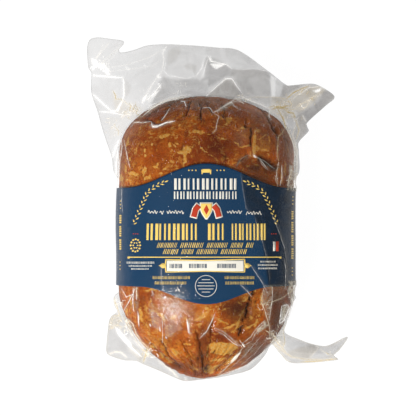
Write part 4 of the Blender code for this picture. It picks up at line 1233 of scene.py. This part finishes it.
def crumpled(spots):
    """How finely crumpled the film is at photo spots."""
    field = np.zeros(len(spots))
    for u, v, reach, _, _ in CRUMPLES:
        distance = (spots[:, 0] - u) ** 2 + (spots[:, 1] - v) ** 2
        field = np.maximum(field, np.exp(-distance / reach**2))
    return field


def ridges(points, size, seed, sharpness):
    """Sharp crests of a given spacing, from 0 between them to 1 along them."""
    return 1 - np.minimum(1, np.abs(noise_at(points, size, seed)) * sharpness)


class HAM_OT_film(bpy.types.Operator):
    """Make the film drawn tight over the ham and its band"""

    bl_idname = "ham.film"
    bl_label = "Tight film"

    def execute(self, context):
        look = context.scene.ham_look
        lines = [line for _, _, _, line in FILM_CREASES]
        lines += [ring + ring[:1] for _, ring in VEILS_AND_SHEEN + TIGHT_GLINTS]
        mesh = round_body(FILM_TURNS, FILM_RINGS, ((lines, FILM_REFINED),))
        directions = coordinates(mesh)
        points = skin_of_directions(directions)
        turn = np.arctan2(directions[:, 1], directions[:, 0])
        low, high = band_edges(turn)
        above_low = smooth((points[:, 1] - low) / BAND_STEP + 1)
        banded = above_low * smooth((high - points[:, 1]) / BAND_STEP + 1)
        banded = np.clip(banded * (smooth((turn - BAND_END_TURN) * 20 + 1) + (turn < -math.pi / 2)), 0, 1)
        put_back(mesh, points)
        spots = in_photo(points)
        upper = upper_share(points)
        raised, milky_and_glint, amber = crease_field(spots, CREASE_SPREAD)
        cores, hollows = groove_field(spots)
        lift = FILM_OVER_BAND * banded + look.crease_height * raised * upper
        sunk = FILM_IN_CORES * cores + FILM_IN_HOLLOWS * hollows + gather_depth(points)
        lift -= upper * sunk * (1 - banded)
        lift += CRUMPLE_HEIGHT * crumpled(spots) * ridges(points, CRUMPLE_SPACING, 5.0, 4) * upper
        lift += RIPPLE_HEIGHT * ridges(points, RIPPLE_SPACING, 7.0, 5) * (1 - 0.8 * banded)
        lift -= back_pleats(points) * (1 - upper)
        raising = np.where(points[:, 2] > LIFTED_ABOVE, lift, 0)
        put_back(mesh, points + normals(mesh) * raising[:, None])
        # Painted highlights: the glints join the whitened creases
        glints = strongest_area(spots, TIGHT_GLINTS)
        paint(mesh, "milky_and_glint", np.maximum(milky_and_glint, glints) * upper)
        paint(mesh, "amber", amber * upper * (1 - banded))
        # Haze where the film bridges hollows, with painted sheen and reflections of the light
        veil_and_sheen = LEFT_VEIL * smooth((LEFT_VEIL_END - spots[:, 0]) / LEFT_VEIL_FADE)
        veil_and_sheen = np.maximum(veil_and_sheen + soft_patches(spots, SHEEN_CLOUDS), strongest_area(spots, VEILS_AND_SHEEN, 1.4)) * upper
        paint(mesh, "haze_and_shading", TIGHT_HAZE + veil_and_sheen)
        material = film_material(look, "tight_film", look.film_haze, 0.30, 0.11, 0.48, 0.6)
        finished("tight_film", mesh, material, "film")
        return {"FINISHED"}


def edge_ring(step):
    """Points round the bag's edge, closely spaced on a smooth curve through its stops."""
    stops = [Vector(stop) * MM for stop in BAG_EDGE]
    found = []
    for i, stop in enumerate(stops):
        before, after, last = stops[i - 1], stops[(i + 1) % len(stops)], stops[(i + 2) % len(stops)]
        pieces = max(1, round((after - stop).length / step))
        for k in range(pieces):
            t = k / pieces
            leave = (after - before) * 0.5
            arrive = (last - stop) * 0.5
            size = (after - stop).length
            leave *= min(1, size / max(leave.length, 1e-9))
            arrive *= min(1, size / max(arrive.length, 1e-9))
            found.append(
                stop * (2 * t**3 - 3 * t**2 + 1)
                + leave * (t**3 - 2 * t**2 + t)
                + after * (3 * t**2 - 2 * t**3)
                + arrive * (t**3 - t**2)
            )
    return np.array(found)


def root_ring():
    """The inner line of the margin, which lies in the ham."""
    share = 0.5 - 0.5 * np.cos(math.pi * (np.arange(ROOT_POINTS) + 0.5) / ROOT_POINTS)
    y, girth = along_ham(share)
    right = np.stack([HALF_WIDTH * girth * MARGIN_ROOT, y * MARGIN_ROOT], axis=1)
    return np.concatenate([right, right[::-1] * (-1, 1)])


def nearest_on_ring(spots, ring):
    """The nearest point of a closed line to each spot, and its distance."""
    best = np.full(len(spots), FAR)
    found = spots.copy()
    for start, end in zip(ring, np.roll(ring, -1, axis=0)):
        run = end - start
        share = np.clip((spots - start) @ run / (run @ run), 0, 1)
        place = start + share[:, None] * run
        distance = np.linalg.norm(spots - place, axis=1)
        nearer = distance < best
        best[nearer] = distance[nearer]
        found[nearer] = place[nearer]
    return found, best


def margin_sheet(edge, root, step):
    """A fine flat mesh of the area between the bag's edge and the root line, in plan."""
    low, high = edge[:, :2].min(axis=0) - step, edge[:, :2].max(axis=0) + step
    columns, rows = np.ceil((high - low) / step).astype(int)
    middle = (low + high) / 2
    bm = bmesh.new()
    size = Matrix.Diagonal((columns * step / 2, rows * step / 2, 1, 1))
    place = Matrix.Translation((middle[0], middle[1], 0)) @ size
    bmesh.ops.create_grid(bm, x_segments=columns, y_segments=rows, size=1.0, matrix=place)
    centres = np.array([f.calc_center_median()[:2] for f in bm.faces])
    kept = inside_ring(centres, edge[:, :2]) & ~inside_ring(centres, root)
    bmesh.ops.delete(bm, geom=[f for f, keep in zip(bm.faces, kept) if not keep], context="FACES")
    pinched = [v for v in bm.verts if sum(e.is_boundary for e in v.link_edges) > 2]
    bmesh.ops.delete(bm, geom=pinched, context="VERTS")
    rim = [v for v in bm.verts if v.is_boundary]
    spots = np.array([v.co[:2] for v in rim])
    outer, to_outer = nearest_on_ring(spots, edge[:, :2])
    inner, to_inner = nearest_on_ring(spots, root)
    for i, vert in enumerate(rim):
        vert.co.xy = outer[i] if to_outer[i] < to_inner[i] else inner[i]
    inside = [v for v in bm.verts if not v.is_boundary]
    for _ in range(4):
        bmesh.ops.smooth_vert(bm, verts=inside, factor=0.5, use_axis_x=True, use_axis_y=True)
    return bm


class HAM_OT_margin(bpy.types.Operator):
    """Make the loose margin of the bag, two plies of film sealed along the edge"""

    bl_idname = "ham.margin"
    bl_label = "Loose film"

    def execute(self, context):
        look = context.scene.ham_look
        edge = edge_ring(EDGE_STEP)
        bm = margin_sheet(edge, root_ring(), SHEET_STEP)
        upper = doubled(bm)
        bmesh.ops.recalc_face_normals(bm, faces=bm.faces)
        mesh = to_mesh(bm)
        points = coordinates(mesh)
        plan = points[:, :2]
        beyond = np.maximum(0, beyond_outline(plan))
        inward = nearest_on_ring(plan, edge[:, :2])[1]
        weights = 1 / (((plan[:, None] - edge[None, :, :2]) ** 2).sum(axis=2) + MM * MM) ** 2
        edge_height = (weights * edge[None, :, 2]).sum(axis=1) / weights.sum(axis=1)
        out = beyond / (beyond + inward + 0.1 * MM)
        wave = noise_at(np.column_stack([plan, np.full(len(plan), 0.01)]), WAVE_LENGTH)
        wave *= WAVE * smooth(beyond / WAVE_REACH)
        points[:, 2] = MID_HEIGHT + (edge_height - MID_HEIGHT) * out + wave
        spots = in_photo(points)
        raised, milky_and_glint, amber = crease_field(spots, LOOSE_SPREAD)
        parting = np.minimum(ROOT_HALF_GAP * np.exp(-beyond / GAP_REACH), GAP_SLOPE * inward)
        slack = smooth(inward / 0.006) * smooth(beyond / 0.004)
        crumple = LOOSE_CRUMPLE * crumpled(spots)
        folded = LOOSE_RAISE * raised + crumple * ridges(points, LOOSE_CRUMPLE_SPACING, 4.0, 3)
        half_gap = EDGE_HALF_GAP + parting + slack * np.where(upper, folded, 0.4 * folded)
        points[:, 2] += np.where(upper, half_gap, -half_gap)
        put_back(mesh, points)
        density = self.density(spots)
        # Facets: painted shade, as more or less of the film's grey
        for haze_and_shading, gold, ring in LOOSE_FACETS:
            share = area_field(spots, ring, 1.7)
            density += (haze_and_shading - density) * share
            amber = np.maximum(amber, gold * share)
        edge_line = np.exp(-((inward / SEAL_WIDTH) ** 2))
        # Painted highlights: the glints join the whitened creases
        glints = strongest_area(spots, LOOSE_GLINTS)
        paint(mesh, "milky_and_glint", np.maximum(milky_and_glint, glints) * np.where(upper, 1, 0.2))
        paint(mesh, "amber", np.maximum(amber * (1 - glints), edge_line * 0.4 * (spots[:, 1] > AMBER_BELOW)))
        density *= 1 + 0.08 * noise_at(np.column_stack([plan, np.zeros(len(plan))]), 0.018, 6.0)
        paint(mesh, "haze_and_shading", np.maximum(density, 0.28 * edge_line))
        material = film_material(look, "loose_film", look.film_grey, 0.4, 0.22, 0.14, 0.0)
        finished("loose_film", mesh, material, "film")
        return {"FINISHED"}

    def density(self, spots):
        """How much of the loose film's grey shows: less at the left, more towards the upper right and at the
        bottom.
        """
        right = smooth((spots[:, 0] - 120) / 150)
        top = smooth((250 - spots[:, 1]) / 60)
        low = smooth((spots[:, 1] - 300) / 30)
        return 0.14 + 0.05 * right + 0.19 * right * top + 0.10 * low


class HAM_OT_creases(bpy.types.Operator):
    """Lay the sharp crests of the film's creases on it, seen as fine pale lines, and its crinkles and short
    glints, painted highlights that glow a little
    """

    bl_idname = "ham.creases"
    bl_label = "Crease crests"

    def execute(self, context):
        look = context.scene.ham_look
        random.seed(7)
        trees = [surface_tree(name) for name in ("tight_film", "loose_film")]
        bm = bmesh.new()
        layers = [bm.verts.layers.float.new(name) for name in ("across", "milky_and_glint", "amber")]
        for width, milk_and_glint, gold, line in FILM_CREASES:
            self.crest(bm, layers, trees, wavering(line, 1.2, 0.3), width, milk_and_glint, gold)
        for u, v, reach, count, gold in CRUMPLES:
            for _ in range(count):
                self.crinkle(bm, layers, trees, (u, v), reach, gold)
        for u, v, half_u, half_v, count in SPARKS:
            for _ in range(count):
                start = Vector((u + half_u * random.uniform(-1, 1), v + half_v * random.uniform(-1, 1)))
                self.spark(bm, layers, trees, start, v > SPARK_MIDDLE)
        mesh = to_mesh(bm)
        finished("crest_and_glint_strips", mesh, crease_material(look), "film")
        return {"FINISHED"}

    def spark(self, bm, layers, trees, start, low):
        """One short glint, which leans out of the tied end that it is near."""
        lean = (start.x - SPARK_MIDDLE) / SPARK_FAN * (1 if low else -1)
        run = Vector((lean * 0.6 + random.uniform(-0.6, 0.6), 1)).normalized()
        route = [start, start + run * random.uniform(*SPARK_LENGTH)]
        self.crest(bm, layers, trees, route, random.uniform(*SPARK_WIDTH), random.uniform(*SPARK_GLINT), 0)

    def crinkle(self, bm, layers, trees, middle, reach, gold):
        """One short bent crest, somewhere round the middle of a crumple."""
        turn = random.uniform(0, 2 * math.pi)
        out = reach * random.random() ** 0.7
        start = Vector((middle[0] + out * math.cos(turn), middle[1] + out * math.sin(turn)))
        heading = random.uniform(0, 2 * math.pi)
        route = [start]
        for _ in range(random.randint(*CRINKLE_LEGS)):
            heading += random.uniform(-CRINKLE_BEND, CRINKLE_BEND)
            step = random.uniform(*CRINKLE_LEG)
            route.append(route[-1] + step * Vector((math.cos(heading), math.sin(heading))))
        width, milk_and_glint = random.uniform(*CRINKLE_WIDTH), random.uniform(*CRINKLE_MILK_AND_GLINT)
        route = wavering(route, 1.0, 0.2)
        self.crest(bm, layers, trees, route, width, milk_and_glint, gold * random.random() ** 0.5)

    def crest(self, bm, layers, trees, route, width, milk_and_glint, gold):
        """Lay one crest along a route in photo spots, on the film that shows there."""
        across, milky_and_glint, amber = layers
        route = [spot for spot in route if onto(trees, spot.x, spot.y, 0)]
        if len(route) < 2:
            return
        verts = ribbon(bm, route, lambda t: width * (0.25 + 0.75 * math.sin(math.pi * t) ** 0.6), 2)
        missed = []
        for vert in verts:
            vert[across] = 1 - abs(vert.co.z)
            vert[milky_and_glint] = milk_and_glint
            vert[amber] = gold
            place = onto(trees, vert.co.x, vert.co.y, 0.0001 + 0.0003 * vert[across])
            if place is None:
                missed.append(vert)
            else:
                vert.co = place
        bmesh.ops.delete(bm, geom=missed, context="VERTS")


def crease_material(look):
    """The crest of a crease in the film, and the same strip for crinkles and glints: pale, glossy, fading out
    to its sides, and glowing a little as a painted highlight.
    """
    s = Shader("crest_and_glint_film")
    broken = s.between(s.noise(260.0, 4.0, 0.6), 0.38, 0.60, 0.45, 1.25)
    alpha = s.math("MULTIPLY", s.math("POWER", s.value("across"), 0.9), s.value("milky_and_glint"))
    alpha = s.math("MULTIPLY", alpha, broken, clamp=True)
    colour = s.mix(s.math("MULTIPLY", s.value("amber"), 0.9), look.film_milky_and_glint, look.film_amber)
    # The crests glow a little: a painted highlight
    values = {"Base Color": colour, "Roughness": 0.2, "Emission Color": colour, "Emission Strength": 0.32}
    return s.end(s.see_through(alpha, s.add("BsdfPrincipled", values)))


def surface_tree(name):
    """A search tree of a finished piece's surface."""
    bm = bmesh.new()
    bm.from_mesh(bpy.data.objects[name].data)
    tree = BVHTree.FromBMesh(bm)
    bm.free()
    return tree


def onto(trees, u, v, rise):
    """The point that a photo spot shows on the nearest of some surfaces, lifted off it, if it shows one."""
    eye = Vector((*CAMERA_SPOT, CAMERA_HEIGHT))
    direction = photo_ray(u, v)
    hits = [tree.ray_cast(eye, direction) for tree in trees]
    hits = [hit for hit in hits if hit[0] is not None]
    if not hits:
        return None
    place = min(hits, key=lambda hit: hit[3])[0]
    return place - direction * rise


def wavering(line, step, sway):
    """A line of points resampled closely, with a slight waver."""
    found = []
    for i in range(len(line) - 1):
        start, end = Vector(line[i]), Vector(line[i + 1])
        pieces = max(1, round((end - start).length / step))
        for k in range(pieces):
            found.append(start.lerp(end, k / pieces))
    found.append(Vector(line[-1]))
    for spot in found[1:-1]:
        spot.x += sway * noise.noise(Vector((spot.x * 0.35, spot.y * 0.35, 1)))
        spot.y += sway * noise.noise(Vector((spot.x * 0.35, spot.y * 0.35, 8)))
    return found


def ribbon(bm, route, half_width, lanes):
    """A flat strip along a route in photo spots. Each vertex's z says how far across it lies, -1 to 1."""
    last = len(route) - 1
    made = bmesh.ops.create_grid(bm, x_segments=last, y_segments=lanes, size=1.0)["verts"]
    for vert in made:
        along = (vert.co.x + 1) / 2
        index = round(along * last)
        before, after = route[max(0, index - 1)], route[min(last, index + 1)]
        run = (after - before).normalized()
        side = Vector((-run.y, run.x)) * vert.co.y * half_width(along)
        vert.co = (route[index].x + side.x, route[index].y + side.y, vert.co.y)
    return made


# The band and its print

TURN_TABLE = np.linspace(*VIEWED_TURNS, VIEWED_STEPS)
TURN_X = HALF_WIDTH * signed_power(np.cos(TURN_TABLE), 2 / SECTION_POWER)
TURN_Z = MID_HEIGHT + HALF_HEIGHT * signed_power(np.sin(TURN_TABLE), 2 / SECTION_POWER)
TURN_SPOTS = in_photo(np.stack([TURN_X, np.zeros(VIEWED_STEPS), TURN_Z], axis=1))[:, 0]


def on_band(spots, lift):
    """The band's points at photo spots, lifted off the ham's skin."""
    rising = np.maximum.accumulate(TURN_SPOTS)
    turn = np.interp(spots[:, 0], rising, TURN_TABLE)
    z = np.interp(spots[:, 0], rising, TURN_Z)
    scale = PIXEL * (CAMERA_HEIGHT - z) / (CAMERA_HEIGHT - PIXEL_LEVEL)
    y = CAMERA_SPOT[1] + (PHOTO_MIDDLE - spots[:, 1]) * scale
    return skin_points(y, np.ones(len(y)), turn, lift)


class HAM_OT_band(bpy.types.Operator):
    """Make the paper band, a thin sheet over the front and the sides of the ham"""

    bl_idname = "ham.band"
    bl_label = "Band"

    def execute(self, context):
        look = context.scene.ham_look
        bm = bmesh.new()
        bmesh.ops.create_grid(bm, x_segments=BAND_COLUMNS, y_segments=BAND_ROWS, size=1.0)
        outer = doubled(bm)
        bmesh.ops.recalc_face_normals(bm, faces=bm.faces)
        mesh = to_mesh(bm)
        share = (coordinates(mesh)[:, :2] + 1) / 2
        turn = math.pi - BAND_END_TURN + share[:, 0] * (2 * BAND_END_TURN - math.pi)
        low, high = band_edges(turn)
        y = low + share[:, 1] * (high - low)
        points = skin_points(y, np.ones(len(y)), turn, np.where(outer, BAND_OUTER, BAND_INNER))
        put_back(mesh, points)
        # Painted shade on the band's right-hand part
        paint(mesh, "dulled", strongest_area(in_photo(points), DULLED, 1.0))
        material = paper_material("band", look.navy, (0.10, 0.15, 0.24), 0.42, look.navy_dulled)
        finished("paper_band", mesh, material, "band", "band")
        return {"FINISHED"}


class Print:
    """Flat shapes of one ink in photo spots, later laid on the band as a thin film of ink."""

    def __init__(self):
        self.bm = bmesh.new()

    def line(self, route, width, lanes=1):
        """A strip along a route, its width a number or a function of how far along it is."""
        route = wavering(route, 1.0, 0.0)
        half = width if callable(width) else lambda t: width / 2
        ribbon(self.bm, route, half, lanes)

    def bar(self, left, top, right, bottom, lanes=1):
        """A plain filled bar or panel."""
        middle = (top + bottom) / 2
        self.line([(left, middle), (right, middle)], bottom - top, lanes)

    def disc(self, u, v, radius, segments=8):
        """A small filled disc."""
        place = Matrix.Translation((u, v, 0))
        bmesh.ops.create_circle(self.bm, cap_ends=True, radius=radius, segments=segments, matrix=place)

    def dots(self, across, v, radius, segments=8):
        """A row of discs."""
        for u in across:
            self.disc(u, v, radius, segments)

    def ring(self, u, v, radius, width):
        """A ring."""
        turns = [2 * math.pi * k / 36 for k in range(37)]
        self.line([(u + radius * math.cos(a), v + radius * math.sin(a)) for a in turns], width)

    def rows(self, rows, weight=1.0, slant=0.0):
        """Rows of plain bars in place of words."""
        for across, heights, count in rows:
            self.blocks(across, heights, count, slant, weight)

    def blocks(self, across, heights, count, slant, weight):
        """A row of plain upright bars of uneven width in place of a word."""
        (left, right), (top, bottom) = across, heights
        pitch = (right - left) / count
        for i in range(count):
            start = left + (i + 0.10) * pitch
            first = (0.27 + 0.07 * math.sin(i * 2.3 + count)) * pitch
            second = (0.25 - 0.06 * math.sin(i * 1.7)) * pitch
            self.upright(start, first * weight, (top, bottom), slant)
            self.upright(start + 0.46 * pitch, second * weight, (top, bottom), slant)

    def upright(self, left, width, heights, slant):
        """One upright bar of a row, leaning by the row's slant."""
        top, bottom = heights
        middle = left + width / 2
        lean = slant * (bottom - top) / 2
        self.line([(middle + lean, top), (middle - lean, bottom)], width)

    def flourish(self, across, v):
        """A fine wavy pen line in place of handwriting."""
        left, right = across
        count = max(6, round((right - left) * 2.4))
        route = []
        for i in range(count + 1):
            u = left + (right - left) * i / count
            route.append((u, v + PEN_SWING * math.sin(u * 2.1) * (0.7 + 0.3 * math.sin(u * 0.9))))
        self.line(route, PEN_WIDTH)

    def shield(self, top, bottom, half_width):
        """The crest's shield, whose sides run in to a point below."""
        route = [(CREST_MIDDLE, top), (CREST_MIDDLE, bottom)]
        self.line(route, lambda t: half_width * (1 - max(0.0, t - 0.35) ** 1.5 * 1.7), 6)

    def crest_leaves(self, leaf_route, width):
        """The two leaves that hang beside the shield."""
        for way in (-1, 1):
            self.line([(CREST_MIDDLE + way * out, v) for out, v in leaf_route], width, 4)

    def lay(self, name, material, slot, level):
        """Lay the shapes on the band and give them the thickness of ink."""
        for vert in self.bm.verts:
            vert.co.z = 0
        outer = doubled(self.bm)
        mesh = to_mesh(self.bm)
        points = on_band(coordinates(mesh)[:, :2], np.where(outer, level, INK_UNDERSIDE))
        put_back(mesh, points)
        outward(mesh)
        return finished(name, mesh, material, slot)


def outward(mesh):
    """Turn all of a mesh's faces to point outwards."""
    bm = bmesh.new()
    bm.from_mesh(mesh)
    bmesh.ops.recalc_face_normals(bm, faces=bm.faces)
    bm.to_mesh(mesh)
    bm.free()


def leaf(print_, base, tip, width):
    """A pointed grain."""
    print_.line([base, tip], lambda t: width / 2 * math.sin(math.pi * min(0.97, max(0.06, t))) ** 0.7)


def sprig(print_, stem, side):
    """A grain sprig: pairs of slim grains along a curved stem, which lean towards its tip."""
    route = wavering(stem, 4.6, 0.0)
    for i in range(len(route) - 1):
        run = (route[i + 1] - route[i]).normalized()
        across = Vector((-run.y, run.x)) * side
        length = 3.0 + 1.6 * i / len(route)
        leaf(print_, route[i] + across * 0.4, route[i] + run * length * 0.8 + across * 2.3, 1.25)
        second = route[i] + run * 1.9
        leaf(print_, second - across * 0.3, second + run * length * 0.7 - across * 1.9, 1.2)
    leaf(print_, route[-1], route[-1] + (route[-1] - route[-2]).normalized() * 4, 1.4)


class HAM_OT_print(bpy.types.Operator):
    """Print the band with plain blocks, rules, sprigs and a rosette"""

    bl_idname = "ham.print"
    bl_label = "Print"

    def execute(self, context):
        look = context.scene.ham_look
        inks = (
            ("cream_print", self.cream_shapes, look.cream, (0.6, 0.6, 0.6), "cream_print", 0.00056),
            ("gold_print", self.gold_shapes, look.gold, (0.5, 0.4, 0.2), "gold_print", 0.00060),
            ("red_print", self.red_shapes, look.red, (0.4, 0.2, 0.1), "red_print", 0.00064),
            ("navy_print", self.navy_shapes, look.navy, (0.1, 0.15, 0.24), "band", 0.00068),
        )
        for name, draw, colour, worn, slot, level in inks:
            ink = Print()
            draw(ink)
            ink.lay(name, paper_material(name.replace("print", "ink"), colour, worn, 0.45), slot, level)
        return {"FINISHED"}

    def navy_shapes(self, ink):
        ink.rows(PLAQUE_ROWS)

    def gold_shapes(self, ink):
        ink.rows(BIG_GOLD_ROWS)
        ink.rows(SLANTED_GOLD_ROWS, SLANTED_WEIGHT, GOLD_SLANT)
        ink.rows(SMALL_GOLD_ROWS, SMALL_GOLD_WEIGHT)
        ink.dots(*TOP_DOTS)
        ink.bar(*TOP_PLATE, lanes=8)
        feet, top, bottom = TOP_FEET
        for u in feet:
            ink.line([(u, top), (u, bottom)], lambda t: 0.9 * (1 - 0.5 * t))
        ink.bar(*RULE)
        ink.dots(*RULE_ENDS, segments=10)
        sprig(ink, SPRIG_STEM, 1)
        sprig(ink, [(SPRIG_MIRROR - u, v) for u, v in SPRIG_STEM], -1)
        self.plaque_border(ink)
        for u, top, bottom in SIDE_STRIPS:
            self.side_strip(ink, u, top, bottom)
        u, v = ROSETTE
        for count, reach_u, reach_v, radius in ROSETTE_RINGS:
            for k in range(count):
                angle = 2 * math.pi * k / count
                ink.disc(u + reach_u * math.cos(angle), v + reach_v * math.sin(angle), radius)
        ink.shield(*GOLD_SHIELD)

    def plaque_border(self, ink):
        """Two slightly bowed rules and two pointed ends."""
        for route in PLAQUE_RULES:
            ink.line(route, 1.0)
        middle = PLAQUE_END_MIDDLE
        for u, way in PLAQUE_ENDS:
            ink.line([(u, PLAQUE_END_TOP), (u + way * 0.6, middle), (u, PLAQUE_END_FOOT)], 1.2)
            tip = [(u, middle), (u + way * PLAQUE_TIP, middle)]
            ink.line(tip, lambda t: 2.6 * math.sin(math.pi * min(0.96, t + 0.1)))

    def side_strip(self, ink, u, top, bottom):
        """An upright strip of dashes with dots above and below."""
        for i in range(round((bottom - top) / STRIP_PITCH)):
            if i % 6 != 4:
                dash = top + i * STRIP_PITCH
                ink.bar(u - 0.9, dash, u + 0.9, dash + STRIP_DASH)
        for v in [top + rise for rise in STRIP_DOTS_ABOVE] + [bottom + drop for drop in STRIP_DOTS_BELOW]:
            ink.disc(u, v, 0.55)

    def cream_shapes(self, ink):
        ink.rows(BIG_CREAM_ROWS, BIG_CREAM_WEIGHT)
        ink.rows(SMALL_CREAM_ROWS, SMALL_CREAM_WEIGHT)
        for across, v in SCRIPTS:
            ink.flourish(across, v)
        ink.bar(*PLAQUE, lanes=8)
        ink.ring(*ROUND_MARK, 0.5)
        first, pitch, thickness = MARK_RULES
        for k in range(5):
            reach = 8.6 - 1.1 * (k - 2) ** 2
            top = first + k * pitch
            ink.bar(ROUND_MARK[0] - reach, top, ROUND_MARK[0] + reach, top + thickness)
        ink.bar(*FLAG_CREAM)
        left, right, first, pitch, length, count = EDGE_TICKS
        for k in range(count):
            ink.bar(left, first + k * pitch, right, first + length + k * pitch)
        ink.shield(*CREAM_SHIELD)
        ink.crest_leaves(CREAM_LEAF, 7.4)

    def red_shapes(self, ink):
        top, bottom = RED_LOZENGE
        lozenge = [(CREST_MIDDLE, top), (CREST_MIDDLE, bottom)]
        ink.line(lozenge, lambda t: 2.6 * (1 - abs(2 * t - 1)) + 0.1, 4)
        ink.crest_leaves(RED_LEAF, 5.6)
        ink.bar(*FLAG_RED)
        ink.dots(*RED_DOTS)


# The stage

class HAM_OT_stage(bpy.types.Operator):
    """Set the pale floor, the soft lights and the camera straight above"""

    bl_idname = "ham.stage"
    bl_label = "Stage"

    def execute(self, context):
        floor = self.floor()
        self.area_light("key", *KEY_LIGHT)
        self.area_light("fill", *FILL_LIGHT)
        world = bpy.data.worlds.new("room")
        world.use_nodes = True
        surround = world.node_tree.nodes["Background"]
        surround.inputs["Color"].default_value = ROOM_COLOUR
        surround.inputs["Strength"].default_value = ROOM_STRENGTH
        context.scene.world = world
        context.scene.view_settings.view_transform = "Standard"
        self.camera()
        return {"FINISHED"}

    def floor(self):
        """A pale floor that glows, as the photo's white ground shows no shadow."""
        bm = bmesh.new()
        bmesh.ops.create_grid(bm, x_segments=8, y_segments=8, size=FLOOR_HALF)
        s = Shader("floor")
        values = {"Base Color": (0.06, 0.06, 0.06, 1), "Roughness": 0.9}
        values.update({"Emission Color": WHITE, "Emission Strength": FLOOR_GLOW})
        mesh = to_mesh(bm)
        mesh.materials.append(s.end(s.add("BsdfPrincipled", values).outputs["BSDF"]))
        floor = in_scene("floor", mesh)
        floor.location.z = -FLOOR_DROP
        return floor

    def area_light(self, name, place, size, power, colour):
        """A soft rectangular light that faces the pack."""
        data = bpy.data.lights.new(name, "AREA")
        data.shape = "RECTANGLE"
        data.size, data.size_y = size
        data.energy = power
        data.color = colour
        light = in_scene(name, data)
        light.location = place
        light.rotation_euler = (LIT_SPOT - Vector(place)).to_track_quat("-Z", "Y").to_euler()

    def camera(self):
        """The photo's camera, straight above."""
        data = bpy.data.cameras.new("camera")
        data.sensor_width = SENSOR
        data.lens = SENSOR * (CAMERA_HEIGHT - PIXEL_LEVEL) / (PIXEL * PHOTO_SIZE)
        camera = in_scene("camera", data)
        camera.location = (*CAMERA_SPOT, CAMERA_HEIGHT)
        bpy.context.scene.camera = camera


STEPS = (HAM_OT_ham, HAM_OT_band, HAM_OT_print, HAM_OT_film, HAM_OT_margin, HAM_OT_creases, HAM_OT_stage)


class HAM_PT_panel(bpy.types.Panel):
    """Lists the steps and the looks"""

    bl_label = "Vacuum-packed ham"
    bl_idname = "HAM_PT_panel"
    bl_space_type = "VIEW_3D"
    bl_region_type = "UI"
    bl_category = "Ham"

    def draw(self, context):
        for name in HamLook.__annotations__:
            self.layout.prop(context.scene.ham_look, name)
        for step in STEPS:
            self.layout.operator(step.bl_idname)


CLASSES = (HamLook, *STEPS, HAM_PT_panel)


def register():
    for cls in CLASSES:
        bpy.utils.register_class(cls)
    bpy.types.Scene.ham_look = bpy.props.PointerProperty(type=HamLook)


def unregister():
    del bpy.types.Scene.ham_look
    for cls in reversed(CLASSES):
        bpy.utils.unregister_class(cls)


def main():
    register()
    for step in STEPS:
        group, name = step.bl_idname.split(".")
        getattr(getattr(bpy.ops, group), name)()


if __name__ == "__main__":
    main()
